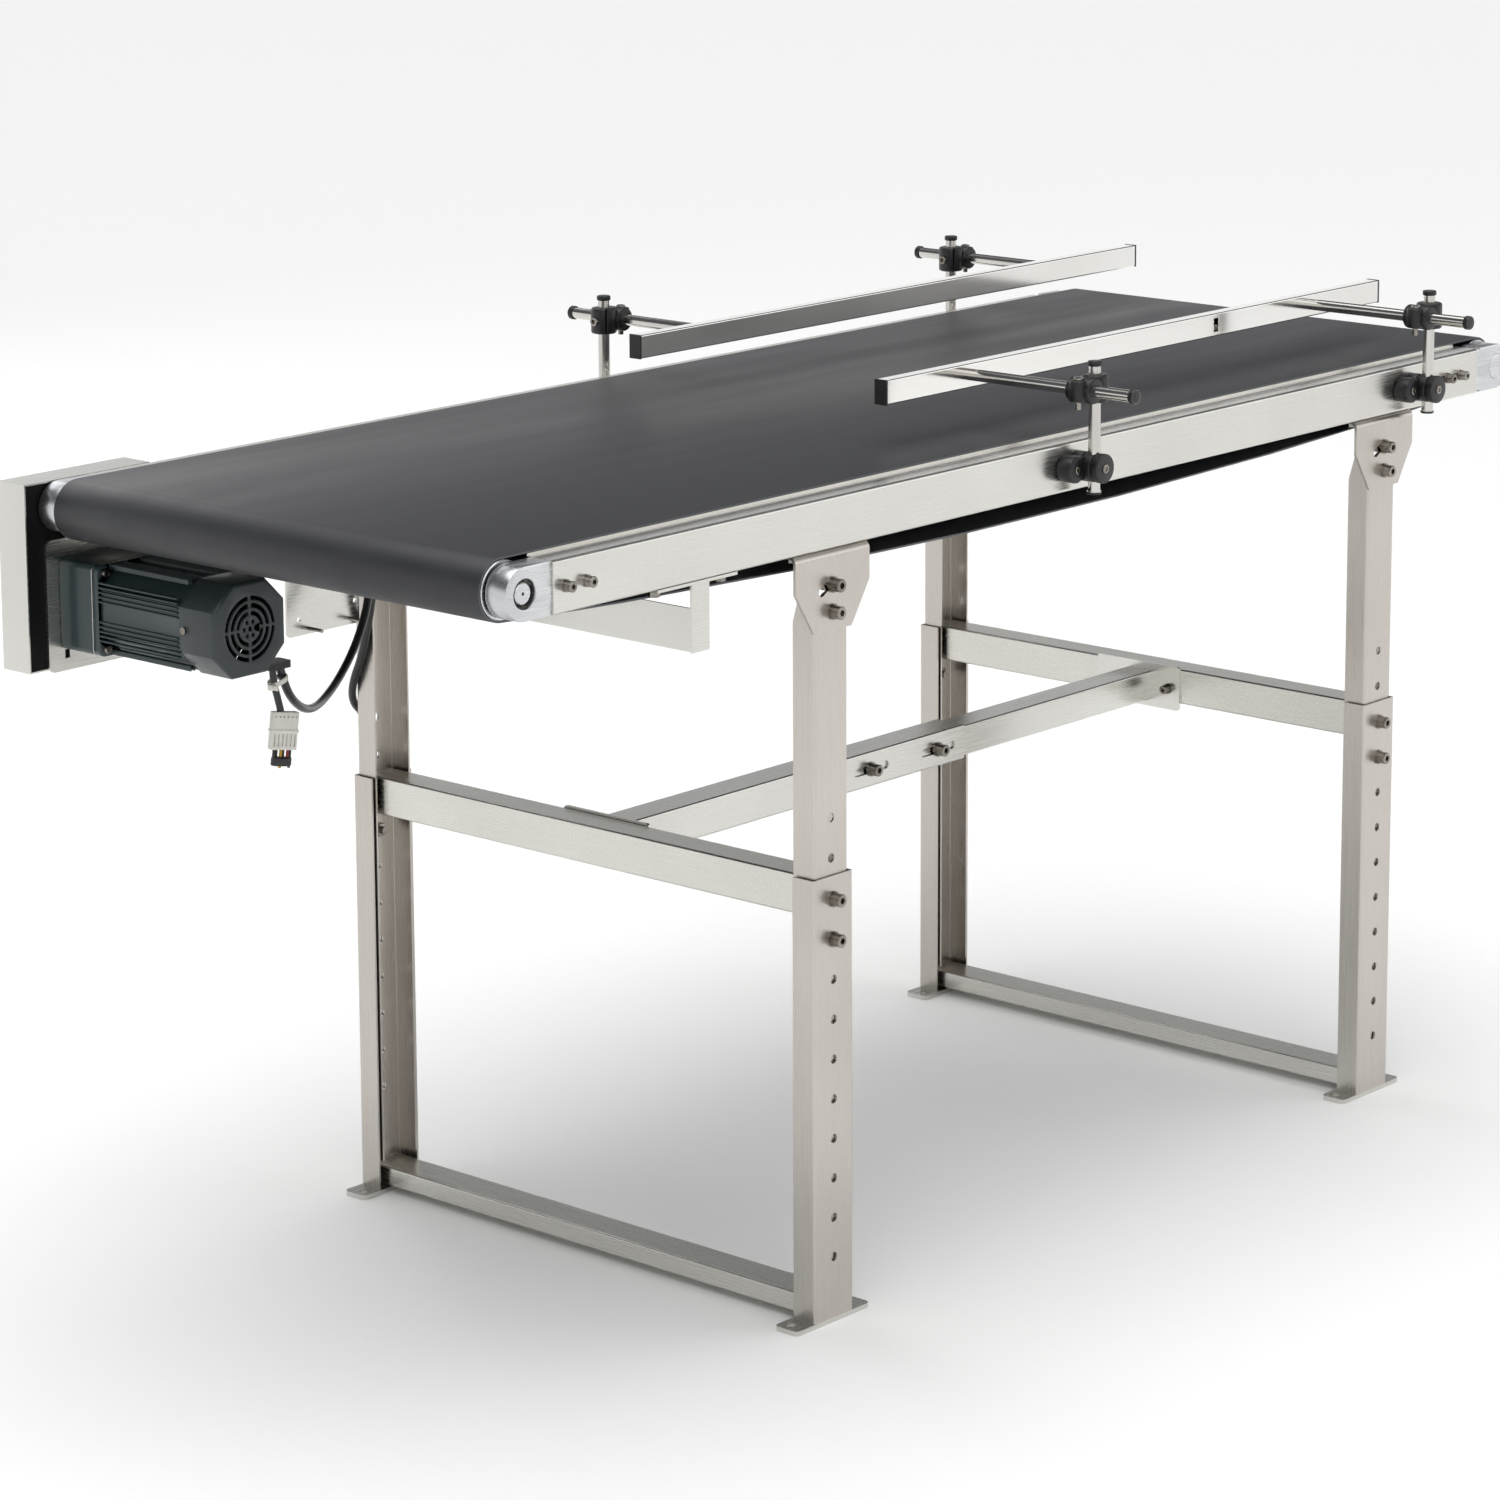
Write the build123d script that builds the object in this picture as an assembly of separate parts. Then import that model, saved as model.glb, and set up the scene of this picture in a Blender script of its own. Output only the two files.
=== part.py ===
from build123d import *
import os
from math import cos, pi, radians, sin, tan

# Belt conveyor section on an adjustable stand. Millimetres.
# +X runs along the belt from the drive end to the tail end, Y across it, +Z up.
# The origin is on the floor, at the centre of the rectangle of outer floor-bolt holes.

# ---- stand ----
LEG_X = 464.0            # leg centres, along the belt
SIDE_Y = 315.0           # outer faces of legs, brackets and side rails
SHEET = 2.0              # sheet thickness of legs and rails
FOOT = (110.0, 30.0, 5.0)
FOOT_HOLE_R = 5.5
FOOT_HOLE_X = 43.0       # foot holes, each way from the leg's centre
FOOT_HOLE_INSET = 19.0   # foot holes, inboard of the outer face
LOWER_W, LOWER_D = 58.0, 27.0
UPPER_W, UPPER_D = 50.0, 26.0
UPPER_GAP = 1.0          # between the webs of the nested channels
LOWER_TOP = 450.0
UPPER_BOTTOM, UPPER_TOP = 35.0, 761.5
TAPER_Z, FLANGE_TOP = 699.0, 8.0   # the upper leg's flanges narrow to this depth above this height
HOLE_Z0, PITCH = 67.0, 40.0
LEG_HOLE_R = 4.5
M8_R = 4.0
M8_HEAD_R, M8_HEAD_H, M8_NUT_W, M8_NUT_H = 6.5, 8.0, 13.0, 6.5
M4_R, M5_R, M6_R, M6_HOLE_R = 2.0, 2.5, 3.0, 3.3
WASHER_T, SPRING_T = 1.6, 2.0   # flat and spring washers under a socket head
FIT = 0.2                       # clearance of a tube's end or a screw in its washers
NUT_GAP, NUT_CLEAR = 0.5, 0.1   # between a leg's web and what bears on its back
BOTTOM_TUBE = (40.0, 20.0)   # X, Z
BOTTOM_TUBE_Z = 8.0
MID_TUBE = (36.0, 40.0)      # X, Z
STRETCH_H, STRETCH_W, STRETCH_Z = 38.0, 40.0, 426.0
STRETCH_PLAY = 0.6       # of the inner half inside the outer half
INNER_BEYOND = 48.0      # of the inner half past its last bolt
LAP_END = 102.0
SLOT_X = (-55.0, 57.0)
SLOT_LEN = 58.0
T_PLATE = (3.0, 116.0)
T_PLATE_Z = (-24.0, 26.5)   # below and above the stretcher's centre line
T_BOLT_Y = 42.0

# ---- leg brackets ----
BRACKET_T = 3.0
PIVOT_Z = 709.0
TILT_BOLT_Z = 735.5
BRACKET_TOP_W, BRACKET_LOW_W = 108.0, 55.0
BRACKET_LOW_Z, BRACKET_KNEE_Z = 691.0, 733.0
BRACKET_DEPTH = 27.0
KNEE_OUT, KNEE_IN = 8.0, 5.0       # bend radii
BRACKET_BOLT_X, BRACKET_BOLT_Y = 40.0, 16.0
TILT_SLOT_DEG, TILT_STEPS = 37.0, 14
TILT_RELIEF = 0.8        # the leg's slot is this much wider each way than the bracket's

# ---- bed ----
RAIL_X0, RAIL_X1 = -846.0, 645.0
RAIL_Z0, RAIL_Z1 = 770.0, 820.0
RAIL_FLANGE = 45.0
AXIS_Z = 795.0
DRIVE_X, TAIL_X = -880.0, 688.0
ROLLER_R = 27.5
ROLLER_HALF = 286.0
SHAFT_R = 9.97
BELT_HALF, BELT_T, BELT_GAP = 285.0, 2.0, 0.3
BELT_SAG, BELT_DIP = 23.0, 0.06   # the slack run's sag, and its slope as it leaves each roller
BED_T, BED_HALF = 2.5, 283.0
BLOCK_T = 25.0
NOSE_R = 25.0
TENON_H = 45.6
BORE_R = 14.0
BEARING_R, BEARING_W = 21.0, 12.0
DRIVE_SCREWS = (16.0, 43.0)  # from the drive block's shoulder
TAIL_SCREWS = (42.5, 68.5)   # from the tail block's shoulder
TENON_BEYOND = 25.0          # of the tenon past its last screw
TAKE_UP_OUT = 9.5            # the tail blocks stand this much further out
TAKE_UP_SLOT = 18.0
CROSS_X = (-560.0, -96.0, 525.0)

# ---- hanging cross bracket and control plate ----
TIE_X0, TIE_X1 = -662.0, -638.0
TIE_Z0, TIE_Z1 = 704.0, 745.0
STRIP_X0, STRIP_X1 = -708.0, -599.0
STRIP_BOLTS, STRIP_BOLT_Y = (-700.0, -610.0), 302.0
STRIP_T, TIE_T = 3.0, 2.5
STRIP_INNER_Y = 289.0
CONTROL_X0, CONTROL_X1 = -598.0, -497.0
CONTROL_Y, CONTROL_T, CONTROL_Z0, CONTROL_WEB_TOP = 297.0, 2.5, 616.0, 758.0
CONTROL_LIP_X1 = -526.0
CONTROL_SCREWS = ((-568.0, 621.5), (-508.5, 621.5))
CONTROL_HOLES = ((-581.5, 633.0), (-503.0, 640.0))
CONTROL_BOLTS, CONTROL_BOLT_Y = (-588.0, -540.0), 307.0
MOTOR_PLATE_BOLTS, PLATE_BOLT_Y = (-833.0, -778.0), 301.0

# ---- gearmotor and its drive ----
MOTOR_X, MOTOR_Z = -838.0, 698.0
MOTOR_W, CORNER_R = 90.0, 7.0
SEAM_T = 1.6                 # of the joint between gearhead and motor
BOSS_R, BOSS_H = 17.0, 5.0
CORNER_SCREW = 37.5          # motor flange screws, each way from the axis
PLATE_SCREW, PLATE_SCREW_DEPTH = 37.0, 12.0
CORE_W, COVER_W = 82.0, 92.0
FIN_COUNT, FIN_X0, FIN_PITCH = 5, 10.0, 4.6
FIN_SECTION = (1.6, 5.0)
GRILLE_RINGS = ((28.0, 31.5), (20.5, 24.5), (13.5, 17.0))
GRILLE_RIB, GRILLE_HALF, GRILLE_HOLES_R = 1.6, 40.0, 7.5
FAN_BLADES, FAN_R, FAN_DISC_R, FAN_HUB_R = 7, 36.0, 30.0, 9.5
FAN_SHAFT_R = 4.0
MOTOR_SHAFT_R = 7.5
GEAR_Y0, GEAR_Y1 = 262.6, 312.0
FLANGE_Y0 = 255.0
BODY_Y0 = 137.0
FAN_Y0 = 90.0
SHAFT_OFFSET = 18.0
PLATE_X0, PLATE_X1, PLATE_Z0, PLATE_Z1 = -898.0, -766.0, 631.0, 762.0
PLATE_LIP_X0 = -842.0
PLATE_NOTCH_Z = (643.0, 652.0)
COVER_X0, COVER_X1, COVER_Y1 = -920.0, -760.0, 356.0
COVER_Z0, COVER_Z1, COVER_T = 634.0, 820.0, 1.5
PULLEY_R, PULLEY_FLANGE_R = 16.0, 19.0
PULLEY_Y0, PULLEY_Y1 = 324.0, 340.0
DRIVE_BELT_T = 3.5

# ---- guard rails ----
POST_X = (-84.0, 516.0)
POST_Y = 335.0
ROD_R = 6.2
POST_Z0, POST_Z1 = 768.0, 903.0
GUARD_Z = 876.0
ARM_DX = 18.0                # guard arms stand this far from the posts
GUARD_H, GUARD_T, GUARD_WALL = 25.0, 15.0, 1.5
GUARD_Y = 196.0              # outer face of each guard
GUARD_X0, GUARD_X1 = -242.0, 625.0
ARM_END = 396.0
GUARD_SLOT_X, GUARD_SLOT = 122.0, (8.0, 15.0)   # off the guard's middle, and its size
GUARD_CAP_T, GUARD_PLUG_LEN = 2.0, 12.0
GUARD_CAP_OUT, GUARD_PLUG_IN = 0.3, 1.7          # past the tube's outside, and within it
CLAMP_R, CLAMP_H = 14.0, 28.0
PAD_DX = 24.0                # post clamp's bolt, beside its post
PAD_DEPTH, PAD_BORE_R = 18.0, 6.2
PAD_BORE_Y = 12.0            # floor of the bolt's counterbore, off the side rail
KNUCKLE_R, KNUCKLE_DEPTH = 15.0, 34.0
ARM_SLEEVE_HALF, CLAMP_WEB_Y, CLAMP_WEB_Z = 15.0, 12.0, 12.5
POST_CAP_LOW_R, CAP_R, CAP_EDGE = 7.2, 7.0, 1.5
ROD_GAP = 0.06

# ---- cables ----
CABLE_R, LEAD_R = 4.2, 3.5
FILL = 0.45                  # an arc's share of the shorter run beside it
LEAD = [(-787, 116, 646), (-787, 115, 632), (-784, 113, 618), (-782, 111, 604)]
SUPPLY = [
    (-774, 120, 646), (-770, 117, 624), (-748, 127, 603), (-712, 149, 586), (-666, 180, 578),
    (-610, 212, 587), (-563, 234, 612), (-535, 244, 648), (-526, 248, 692), (-521, 252, 743),
    (-480, 286, 739), (-482, 281, 692), (-494, 279, 652), (-494, 287, 615), (-494, 298, 578),
    (-495, 311, 550), (-487, 321, 526), (-466, 324, 508), (-460, 325, 482),
]
SUPPLY_PLUG = (-460.0, 325.0, 486.0)
CABLE_HOOK_X, CABLE_HOOK_Y, CABLE_HOOK_TOP = -500.5, 257.0, 737.3
GLAND = (-796, -768, 108, 129, 646, 652.5)
CONNECTOR_AT = (-780.0, 110.0, 584.9)
PLUG_TILT, PLUG_TURN = 8.0, -20.0


def block(x0, x1, y0, y1, z0, z1):
    """A box between two corners, given in any order."""
    (x0, x1), (y0, y1), (z0, z1) = sorted((x0, x1)), sorted((y0, y1)), sorted((z0, z1))
    return Pos((x0 + x1) / 2, (y0 + y1) / 2, (z0 + z1) / 2) * Box(x1 - x0, y1 - y0, z1 - z0)


def round_x(y, z, r, x0, x1):
    return Pos((x0 + x1) / 2, y, z) * Rot(0, 90, 0) * Cylinder(r, abs(x1 - x0))


def round_y(x, z, r, y0, y1):
    return Pos(x, (y0 + y1) / 2, z) * Rot(90, 0, 0) * Cylinder(r, abs(y1 - y0))


def round_z(x, y, r, z0, z1):
    return Pos(x, y, (z0 + z1) / 2) * Cylinder(r, abs(z1 - z0))


def slot_y(x, z, length, r, y0, y1):
    """A round-ended prism along X, through the thickness from y0 to y1."""
    half = length / 2 - r
    return (block(x - half, x + half, y0, y1, z - r, z + r)
            + round_y(x - half, z, r, y0, y1) + round_y(x + half, z, r, y0, y1))


def channel(width, depth, length):
    """A bent C channel: the web lies on y = 0 and the open side faces +Y."""
    outer = Pos(0, depth / 2) * Rectangle(width, depth)
    outer = fillet(outer.vertices().group_by(Axis.Y)[0], 3.0)
    inner = Pos(0, SHEET + depth / 2) * Rectangle(width - 2 * SHEET, depth)
    inner = fillet(inner.vertices().group_by(Axis.Y)[0], 1.0)
    return extrude(outer - inner, length)


def tube_y(width, height, wall, y0, y1, radius=2.0):
    """A rectangular tube along Y, centred on x = 0 and z = 0."""
    outer = fillet(Rectangle(width, height).vertices(), radius)
    inner = fillet(Rectangle(width - 2 * wall, height - 2 * wall).vertices(), max(radius - wall, 0.5))
    return Pos(0, y0, 0) * Rot(-90, 0, 0) * extrude(outer - inner, y1 - y0)


def hex_prism(across_flats, height):
    return extrude(RegularPolygon(across_flats / 2, 6, major_radius=False), height)


def socket_screw(shank_r, head_r, head_h, grip):
    """A socket-head screw with its washers. The clamped face is z = 0, the head is on +Z."""
    stack = WASHER_T + SPRING_T
    hole_r = shank_r + FIT
    washer = Pos(0, 0, WASHER_T / 2) * (Cylinder(shank_r * 2, WASHER_T) - Cylinder(hole_r, WASHER_T))
    spring = Cylinder(shank_r * 1.75, SPRING_T) - Cylinder(hole_r, SPRING_T)
    spring = Pos(0, 0, WASHER_T + SPRING_T / 2) * spring
    head = Pos(0, 0, stack + head_h / 2) * Cylinder(head_r, head_h)
    head = chamfer(head.edges().group_by(Axis.Z)[-1], 0.6)
    head -= Pos(0, 0, stack + head_h * 0.45) * hex_prism(shank_r * 1.45, head_h)
    shank = Pos(0, 0, (stack - grip) / 2) * Cylinder(shank_r - 0.05, grip + stack)
    return [head + shank, washer, spring]


def flange_bolt(shank_r, grip):
    """A flanged hexagon bolt. The clamped face is z = 0, the head is on +Z."""
    flange = Pos(0, 0, 0.7) * Cylinder(shank_r * 2.1, 1.4)
    head = Pos(0, 0, 1.4) * hex_prism(shank_r * 3.2, shank_r * 1.5)
    return [flange + head + Pos(0, 0, -grip / 2) * Cylinder(shank_r - 0.05, grip)]


def placed(place, solids):
    return [place * s for s in solids]


def facing(side):
    """Turns a screw's +Z to the outward normal of the near (-1) or far (+1) side."""
    return Rot(90, 0, 0) if side < 0 else Rot(-90, 0, 0)


def tidy(shape):
    """Every closed solid in a shape or list of shapes."""
    if isinstance(shape, list):
        return [s for item in shape for s in tidy(item)]
    return list(shape.solids())


PARTS = {}


def keep(name, shape):
    solids = tidy(shape)
    PARTS[name] = solids[0] if len(solids) == 1 else Compound(children=solids)


SIDES = {"near": -1, "far": 1}
ENDS = {"drive": -1, "tail": 1}


# ---- stand ----
def lower_leg(end, side):
    leg = Pos(end * LEG_X, side * SIDE_Y, FOOT[2]) * Rot(0, 0, 180 if side > 0 else 0)
    leg = leg * channel(LOWER_W, LOWER_D, LOWER_TOP - FOOT[2])
    for k in range(10):
        z = HOLE_Z0 + PITCH * k
        leg -= round_y(end * LEG_X, z, LEG_HOLE_R, side * (SIDE_Y - 5), side * (SIDE_Y + 5))
    return leg


def foot_plate(end, side):
    length, depth, thick = FOOT
    plate = extrude(fillet(Rectangle(length, depth).vertices(), 6.0), thick)
    plate = Pos(end * LEG_X, side * (SIDE_Y - depth / 2), 0) * plate
    for dx in (-FOOT_HOLE_X, FOOT_HOLE_X):
        plate -= round_z(end * LEG_X + dx, side * (SIDE_Y - FOOT_HOLE_INSET), FOOT_HOLE_R, -1, thick + 1)
    return plate


def bottom_tube(end):
    half = SIDE_Y - SHEET - FIT
    tube = tube_y(*BOTTOM_TUBE, SHEET, -half, half)
    return Pos(end * LEG_X, 0, BOTTOM_TUBE_Z + BOTTOM_TUBE[1] / 2) * tube


def mid_tube(end):
    """The cross tube that the height bolts screw into. Its ends are closed by threaded plugs."""
    half = SIDE_Y - SHEET - UPPER_GAP - SHEET - NUT_GAP
    plug_len = 12.0
    hole_z = HOLE_Z0 + 9 * PITCH - mid_z()
    tube = tube_y(*MID_TUBE, SHEET, -half, half)
    for side in (-1, 1):
        x, z = MID_TUBE[0] / 2 - SHEET, MID_TUBE[1] / 2 - SHEET
        plug = block(-x, x, side * (half - plug_len), side * half, -z, z)
        tube += plug - round_y(0, hole_z, M8_R, side * (half - plug_len - 1), side * (half + 1))
    for side in (-1, 1):
        tube -= round_x(side * T_BOLT_Y, STRETCH_Z - mid_z(), 3.2, -end * 5, -end * 30)
    return Pos(end * LEG_X, 0, mid_z()) * tube


def mid_z():
    return LOWER_TOP - MID_TUBE[1] / 2


def stretcher(end):
    """One half of the telescoping stretcher with its end plate. The drive half is the outer one."""
    outer = end < 0
    wall = SHEET
    h = STRETCH_H if outer else STRETCH_H - 2 * wall - STRETCH_PLAY
    w = STRETCH_W if outer else STRETCH_W - 2 * wall - STRETCH_PLAY
    face = LEG_X - MID_TUBE[0] / 2
    x_plate = end * (face - T_PLATE[0])
    x_free = LAP_END if outer else SLOT_X[0] - INNER_BEYOND
    bar = Rot(0, 0, -90) * tube_y(w, h, wall, min(x_plate, x_free), max(x_plate, x_free))
    plate = block(x_plate, end * face, -T_PLATE[1] / 2, T_PLATE[1] / 2, *T_PLATE_Z)
    bar += fillet(plate.edges().filter_by(Axis.X), 4.0)
    for side in (-1, 1):
        bar -= round_x(side * T_BOLT_Y, 0, M6_HOLE_R, end * (face - 10), end * (face + 1))
    for x in SLOT_X:
        if outer:
            bar -= slot_y(x, 0, SLOT_LEN, LEG_HOLE_R, -STRETCH_W, 0)
        else:
            bar -= round_y(x, 0, M8_R, -STRETCH_W, 0)
    return Pos(0, 0, STRETCH_Z) * bar


def stretcher_bolts():
    out = []
    for x in SLOT_X:
        place = Pos(x, -STRETCH_W / 2, STRETCH_Z) * facing(-1)
        out += placed(place, socket_screw(M8_R, M8_HEAD_R, M8_HEAD_H, 18.0))
    for end in (-1, 1):
        x = end * (LEG_X - MID_TUBE[0] / 2 - T_PLATE[0])
        for side in (-1, 1):
            place = Pos(x, side * T_BOLT_Y, STRETCH_Z) * Rot(0, -90 * end, 0)
            out += placed(place, socket_screw(3.0, 5.0, 6.0, 6.0))
    return out


def leg_bolts():
    """Height bolts at the two top holes of each lower leg. The lower one of each pair has a nut inside."""
    out = []
    for end in (-1, 1):
        for side in (-1, 1):
            x = end * LEG_X
            face = side * SIDE_Y
            top = Pos(x, face, HOLE_Z0 + 9 * PITCH) * facing(side)
            low = Pos(x, face, HOLE_Z0 + 8 * PITCH) * facing(side)
            out += placed(top, socket_screw(M8_R, M8_HEAD_R, M8_HEAD_H, 14.0))
            out += placed(low, socket_screw(M8_R, M8_HEAD_R, M8_HEAD_H, 16.0))
            nut = hex_prism(M8_NUT_W, M8_NUT_H) - Cylinder(M8_R, 3 * M8_NUT_H)
            out += placed(low * Pos(0, 0, -SHEET - UPPER_GAP - SHEET - NUT_GAP - M8_NUT_H), [nut])
    return out


# ---- upper legs and brackets ----
def upper_leg(end, side):
    leg = channel(UPPER_W, UPPER_D, UPPER_TOP - UPPER_BOTTOM)
    # the flanges narrow towards the top, to clear the bed when it tilts
    profile = Polyline((FLANGE_TOP, UPPER_TOP + 1), (UPPER_D, TAPER_Z), (UPPER_D + 5, TAPER_Z),
                       (UPPER_D + 5, UPPER_TOP + 1), close=True)
    cutter = extrude(Plane.YZ * make_face(profile), 60, both=True)
    leg = Pos(0, 0, UPPER_BOTTOM) * leg - cutter
    for k in range(1, 12):
        leg -= round_y(0, HOLE_Z0 + PITCH * k, LEG_HOLE_R, -5, 5)
    leg -= round_y(0, PIVOT_Z, LEG_HOLE_R, -5, 5)
    slot = tilt_slot(LEG_HOLE_R + TILT_RELIEF, -5, 5)
    leg -= slot if side < 0 else mirror(slot, Plane.YZ)
    y = SIDE_Y - SHEET - UPPER_GAP
    return Pos(end * LEG_X, side * y, 0) * Rot(0, 0, 180 if side > 0 else 0) * leg


def tilt_slot(r, y0, y1):
    """A curved slot round the pivot, from the tilt bolt towards the drive end."""
    radius = TILT_BOLT_Z - PIVOT_Z
    cutter = round_y(0, TILT_BOLT_Z, r, y0, y1)
    for i in range(1, TILT_STEPS + 1):
        a = radians(TILT_SLOT_DEG) * i / TILT_STEPS
        cutter += round_y(-radius * sin(a), PIVOT_Z + radius * cos(a), r, y0, y1)
    return cutter


def edge_near(body, y, z):
    """The edge along X that lies nearest to a point of the Y-Z section."""
    return min(body.edges().filter_by(Axis.X), key=lambda e: abs(e.center().Y - y) + abs(e.center().Z - z))


def leg_bracket(end, side):
    """A plate that hangs from the side rail's underside. The upper bolt runs in a slot round the pivot."""
    w1, w0 = BRACKET_TOP_W / 2, BRACKET_LOW_W / 2
    top = RAIL_Z0
    outline = Polyline((-w0, BRACKET_LOW_Z), (w0, BRACKET_LOW_Z), (w1, BRACKET_KNEE_Z), (w1, top + 1),
                       (-w1, top + 1), (-w1, BRACKET_KNEE_Z), close=True)
    profile = fillet(make_face(outline).vertices().group_by(Axis.Y)[0], 2.0)
    depth = BRACKET_DEPTH
    # an L section, bent with a round knee, trimmed to the outline
    section = Polyline((0, BRACKET_LOW_Z - 1), (0, top), (depth, top), (depth, top - BRACKET_T),
                       (BRACKET_T, top - BRACKET_T), (BRACKET_T, BRACKET_LOW_Z - 1), close=True)
    face = make_face(Plane.YZ * section)
    body = extrude(face, w1, both=True)
    body = fillet(edge_near(body, 0, top), KNEE_OUT)
    body = fillet(edge_near(body, BRACKET_T, top - BRACKET_T), KNEE_IN)
    trim = Plane.XZ.offset(-depth - 1) * profile
    body = body & extrude(trim, 2 * depth + 2)
    body -= round_y(0, PIVOT_Z, LEG_HOLE_R, -1, BRACKET_T + 1)
    body -= tilt_slot(LEG_HOLE_R, -1, BRACKET_T + 1)
    for dx in (-BRACKET_BOLT_X, BRACKET_BOLT_X):
        body -= round_z(dx, BRACKET_BOLT_Y, M6_HOLE_R, top - 5, top + 1)
    place = Pos(end * LEG_X, side * SIDE_Y, 0)
    return place * (body if side < 0 else mirror(body, Plane.XZ))


def bracket_bolts():
    out = []
    for end in (-1, 1):
        for side in (-1, 1):
            for z in (PIVOT_Z, TILT_BOLT_Z):
                place = Pos(end * LEG_X, side * SIDE_Y, z) * facing(side)
                out += placed(place, socket_screw(M8_R, M8_HEAD_R, M8_HEAD_H, 13.0))
                nut = hex_prism(M8_NUT_W, M8_NUT_H) - Cylinder(M8_R, 3 * M8_NUT_H)
                out += placed(place * Pos(0, 0, -BRACKET_T - SHEET - NUT_CLEAR - M8_NUT_H), [nut])
    return out


# ---- bed ----
def side_rail(side):
    height = RAIL_Z1 - RAIL_Z0
    rail = channel(height, RAIL_FLANGE, RAIL_X1 - RAIL_X0)
    rail = Pos(RAIL_X0, -SIDE_Y, AXIS_Z) * Rot(0, 90, 0) * rail
    if side > 0:
        rail = mirror(rail, Plane.XZ)
    y0, y1 = side * (SIDE_Y - 4), side * (SIDE_Y + 4)
    for d in DRIVE_SCREWS:
        rail -= round_y(RAIL_X0 + d, AXIS_Z, M6_HOLE_R, y0, y1)
    for d in TAIL_SCREWS:
        middle = RAIL_X1 + TAKE_UP_OUT / 2 - d
        rail -= slot_y(middle, AXIS_Z, TAKE_UP_SLOT, M6_HOLE_R, y0, y1)
    for x in POST_X:
        rail -= round_y(x + side * PAD_DX, AXIS_Z, M6_HOLE_R, y0, y1)
    for x, y, r, _ in underside_bolts(side):
        rail -= round_z(x, side * y, r + FIT, RAIL_Z0 - 1, RAIL_Z0 + SHEET + 1)
    return rail


def underside_bolts(side):
    """Place, thread radius and plate thickness of each bolt up into a side rail's underside."""
    bolts = [(x, STRIP_BOLT_Y, M6_R, STRIP_T) for x in STRIP_BOLTS]
    for end in (-1, 1):
        for dx in (-BRACKET_BOLT_X, BRACKET_BOLT_X):
            bolts.append((end * LEG_X + dx, SIDE_Y - BRACKET_BOLT_Y, M6_R, BRACKET_T))
    if side > 0:
        bolts += [(x, PLATE_BOLT_Y, M6_R, STRIP_T) for x in MOTOR_PLATE_BOLTS]
        bolts += [(x, CONTROL_BOLT_Y, M5_R, CONTROL_T) for x in CONTROL_BOLTS]
    return bolts


def slider_bed():
    bed = block(RAIL_X0, RAIL_X1, -BED_HALF, BED_HALF, RAIL_Z1, RAIL_Z1 + BED_T)
    ends = bed.faces().filter_by(Axis.Z).sort_by(Axis.Z)[-1].edges().filter_by(Axis.Y)
    return chamfer(ends, 1.2)


def bed_cross_member(x):
    half = SIDE_Y - SHEET - FIT
    return Pos(x, 0, AXIS_Z) * tube_y(40.0, 44.0, SHEET, -half, half)


def belt_outline(gap):
    """The closed belt path in X-Z, a gap outside the rollers. The return run hangs in a shallow curve."""
    r = ROLLER_R + gap
    mid = (DRIVE_X + TAIL_X) / 2
    top = Line((DRIVE_X, AXIS_Z + r), (TAIL_X, AXIS_Z + r))
    tail = ThreePointArc((TAIL_X, AXIS_Z + r), (TAIL_X + r, AXIS_Z), (TAIL_X, AXIS_Z - r))
    sag = Spline((TAIL_X, AXIS_Z - r), (mid, AXIS_Z - r - BELT_SAG), (DRIVE_X, AXIS_Z - r),
                 tangents=((-1, -BELT_DIP), (-1, BELT_DIP)))
    drive = ThreePointArc((DRIVE_X, AXIS_Z - r), (DRIVE_X - r, AXIS_Z), (DRIVE_X, AXIS_Z + r))
    return make_face([top, tail, sag, drive])


def conveyor_belt():
    outer = Plane.XZ * belt_outline(BELT_GAP + BELT_T)
    inner = Plane.XZ * belt_outline(BELT_GAP)
    return extrude(outer, BELT_HALF, both=True) - extrude(inner, BELT_HALF + 5, both=True)


def end_block(end, side, shift):
    """A machined block: a full-height rounded nose, and a lower tenon inside the side rail."""
    axis_x = DRIVE_X if end < 0 else TAIL_X
    rail_end = RAIL_X0 if end < 0 else RAIL_X1
    screws = DRIVE_SCREWS if end < 0 else TAIL_SCREWS
    shoulder = rail_end + end * shift
    y1 = side * (SIDE_Y - SHEET - 0.1)
    y0 = side * (SIDE_Y - SHEET - 0.1 - BLOCK_T)
    nose = round_y(axis_x, AXIS_Z, NOSE_R, y0, y1) + block(axis_x, shoulder, y0, y1, RAIL_Z0, RAIL_Z1)
    tenon_end = shoulder - end * (screws[-1] + TENON_BEYOND)
    tenon = block(shoulder, tenon_end, y0, y1, AXIS_Z - TENON_H / 2, AXIS_Z + TENON_H / 2)
    tenon = chamfer(tenon.edges().filter_by(Axis.X), 1.2)
    body = nose + tenon
    body -= round_y(axis_x, AXIS_Z, BORE_R, y0, y1)
    body -= round_y(axis_x, AXIS_Z, BEARING_R + 0.02, y0, y0 + side * BEARING_W)
    for d in screws:
        body -= round_y(shoulder - end * d, AXIS_Z, 3.0, y0 + side * 5, y1 + side)
    return body


def bearing(axis_x, side):
    y0 = side * (SIDE_Y - SHEET - 0.1 - BLOCK_T)
    y1 = y0 + side * BEARING_W
    ring = round_y(axis_x, AXIS_Z, BEARING_R, y0, y1)
    ring -= round_y(axis_x, AXIS_Z, SHAFT_R + 0.05, y0 - side, y1 + side)
    groove = round_y(axis_x, AXIS_Z, BEARING_R - 2.5, y0, y0 + side)
    groove -= round_y(axis_x, AXIS_Z, SHAFT_R + 3, y0, y0 + side)
    return ring - groove


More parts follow.
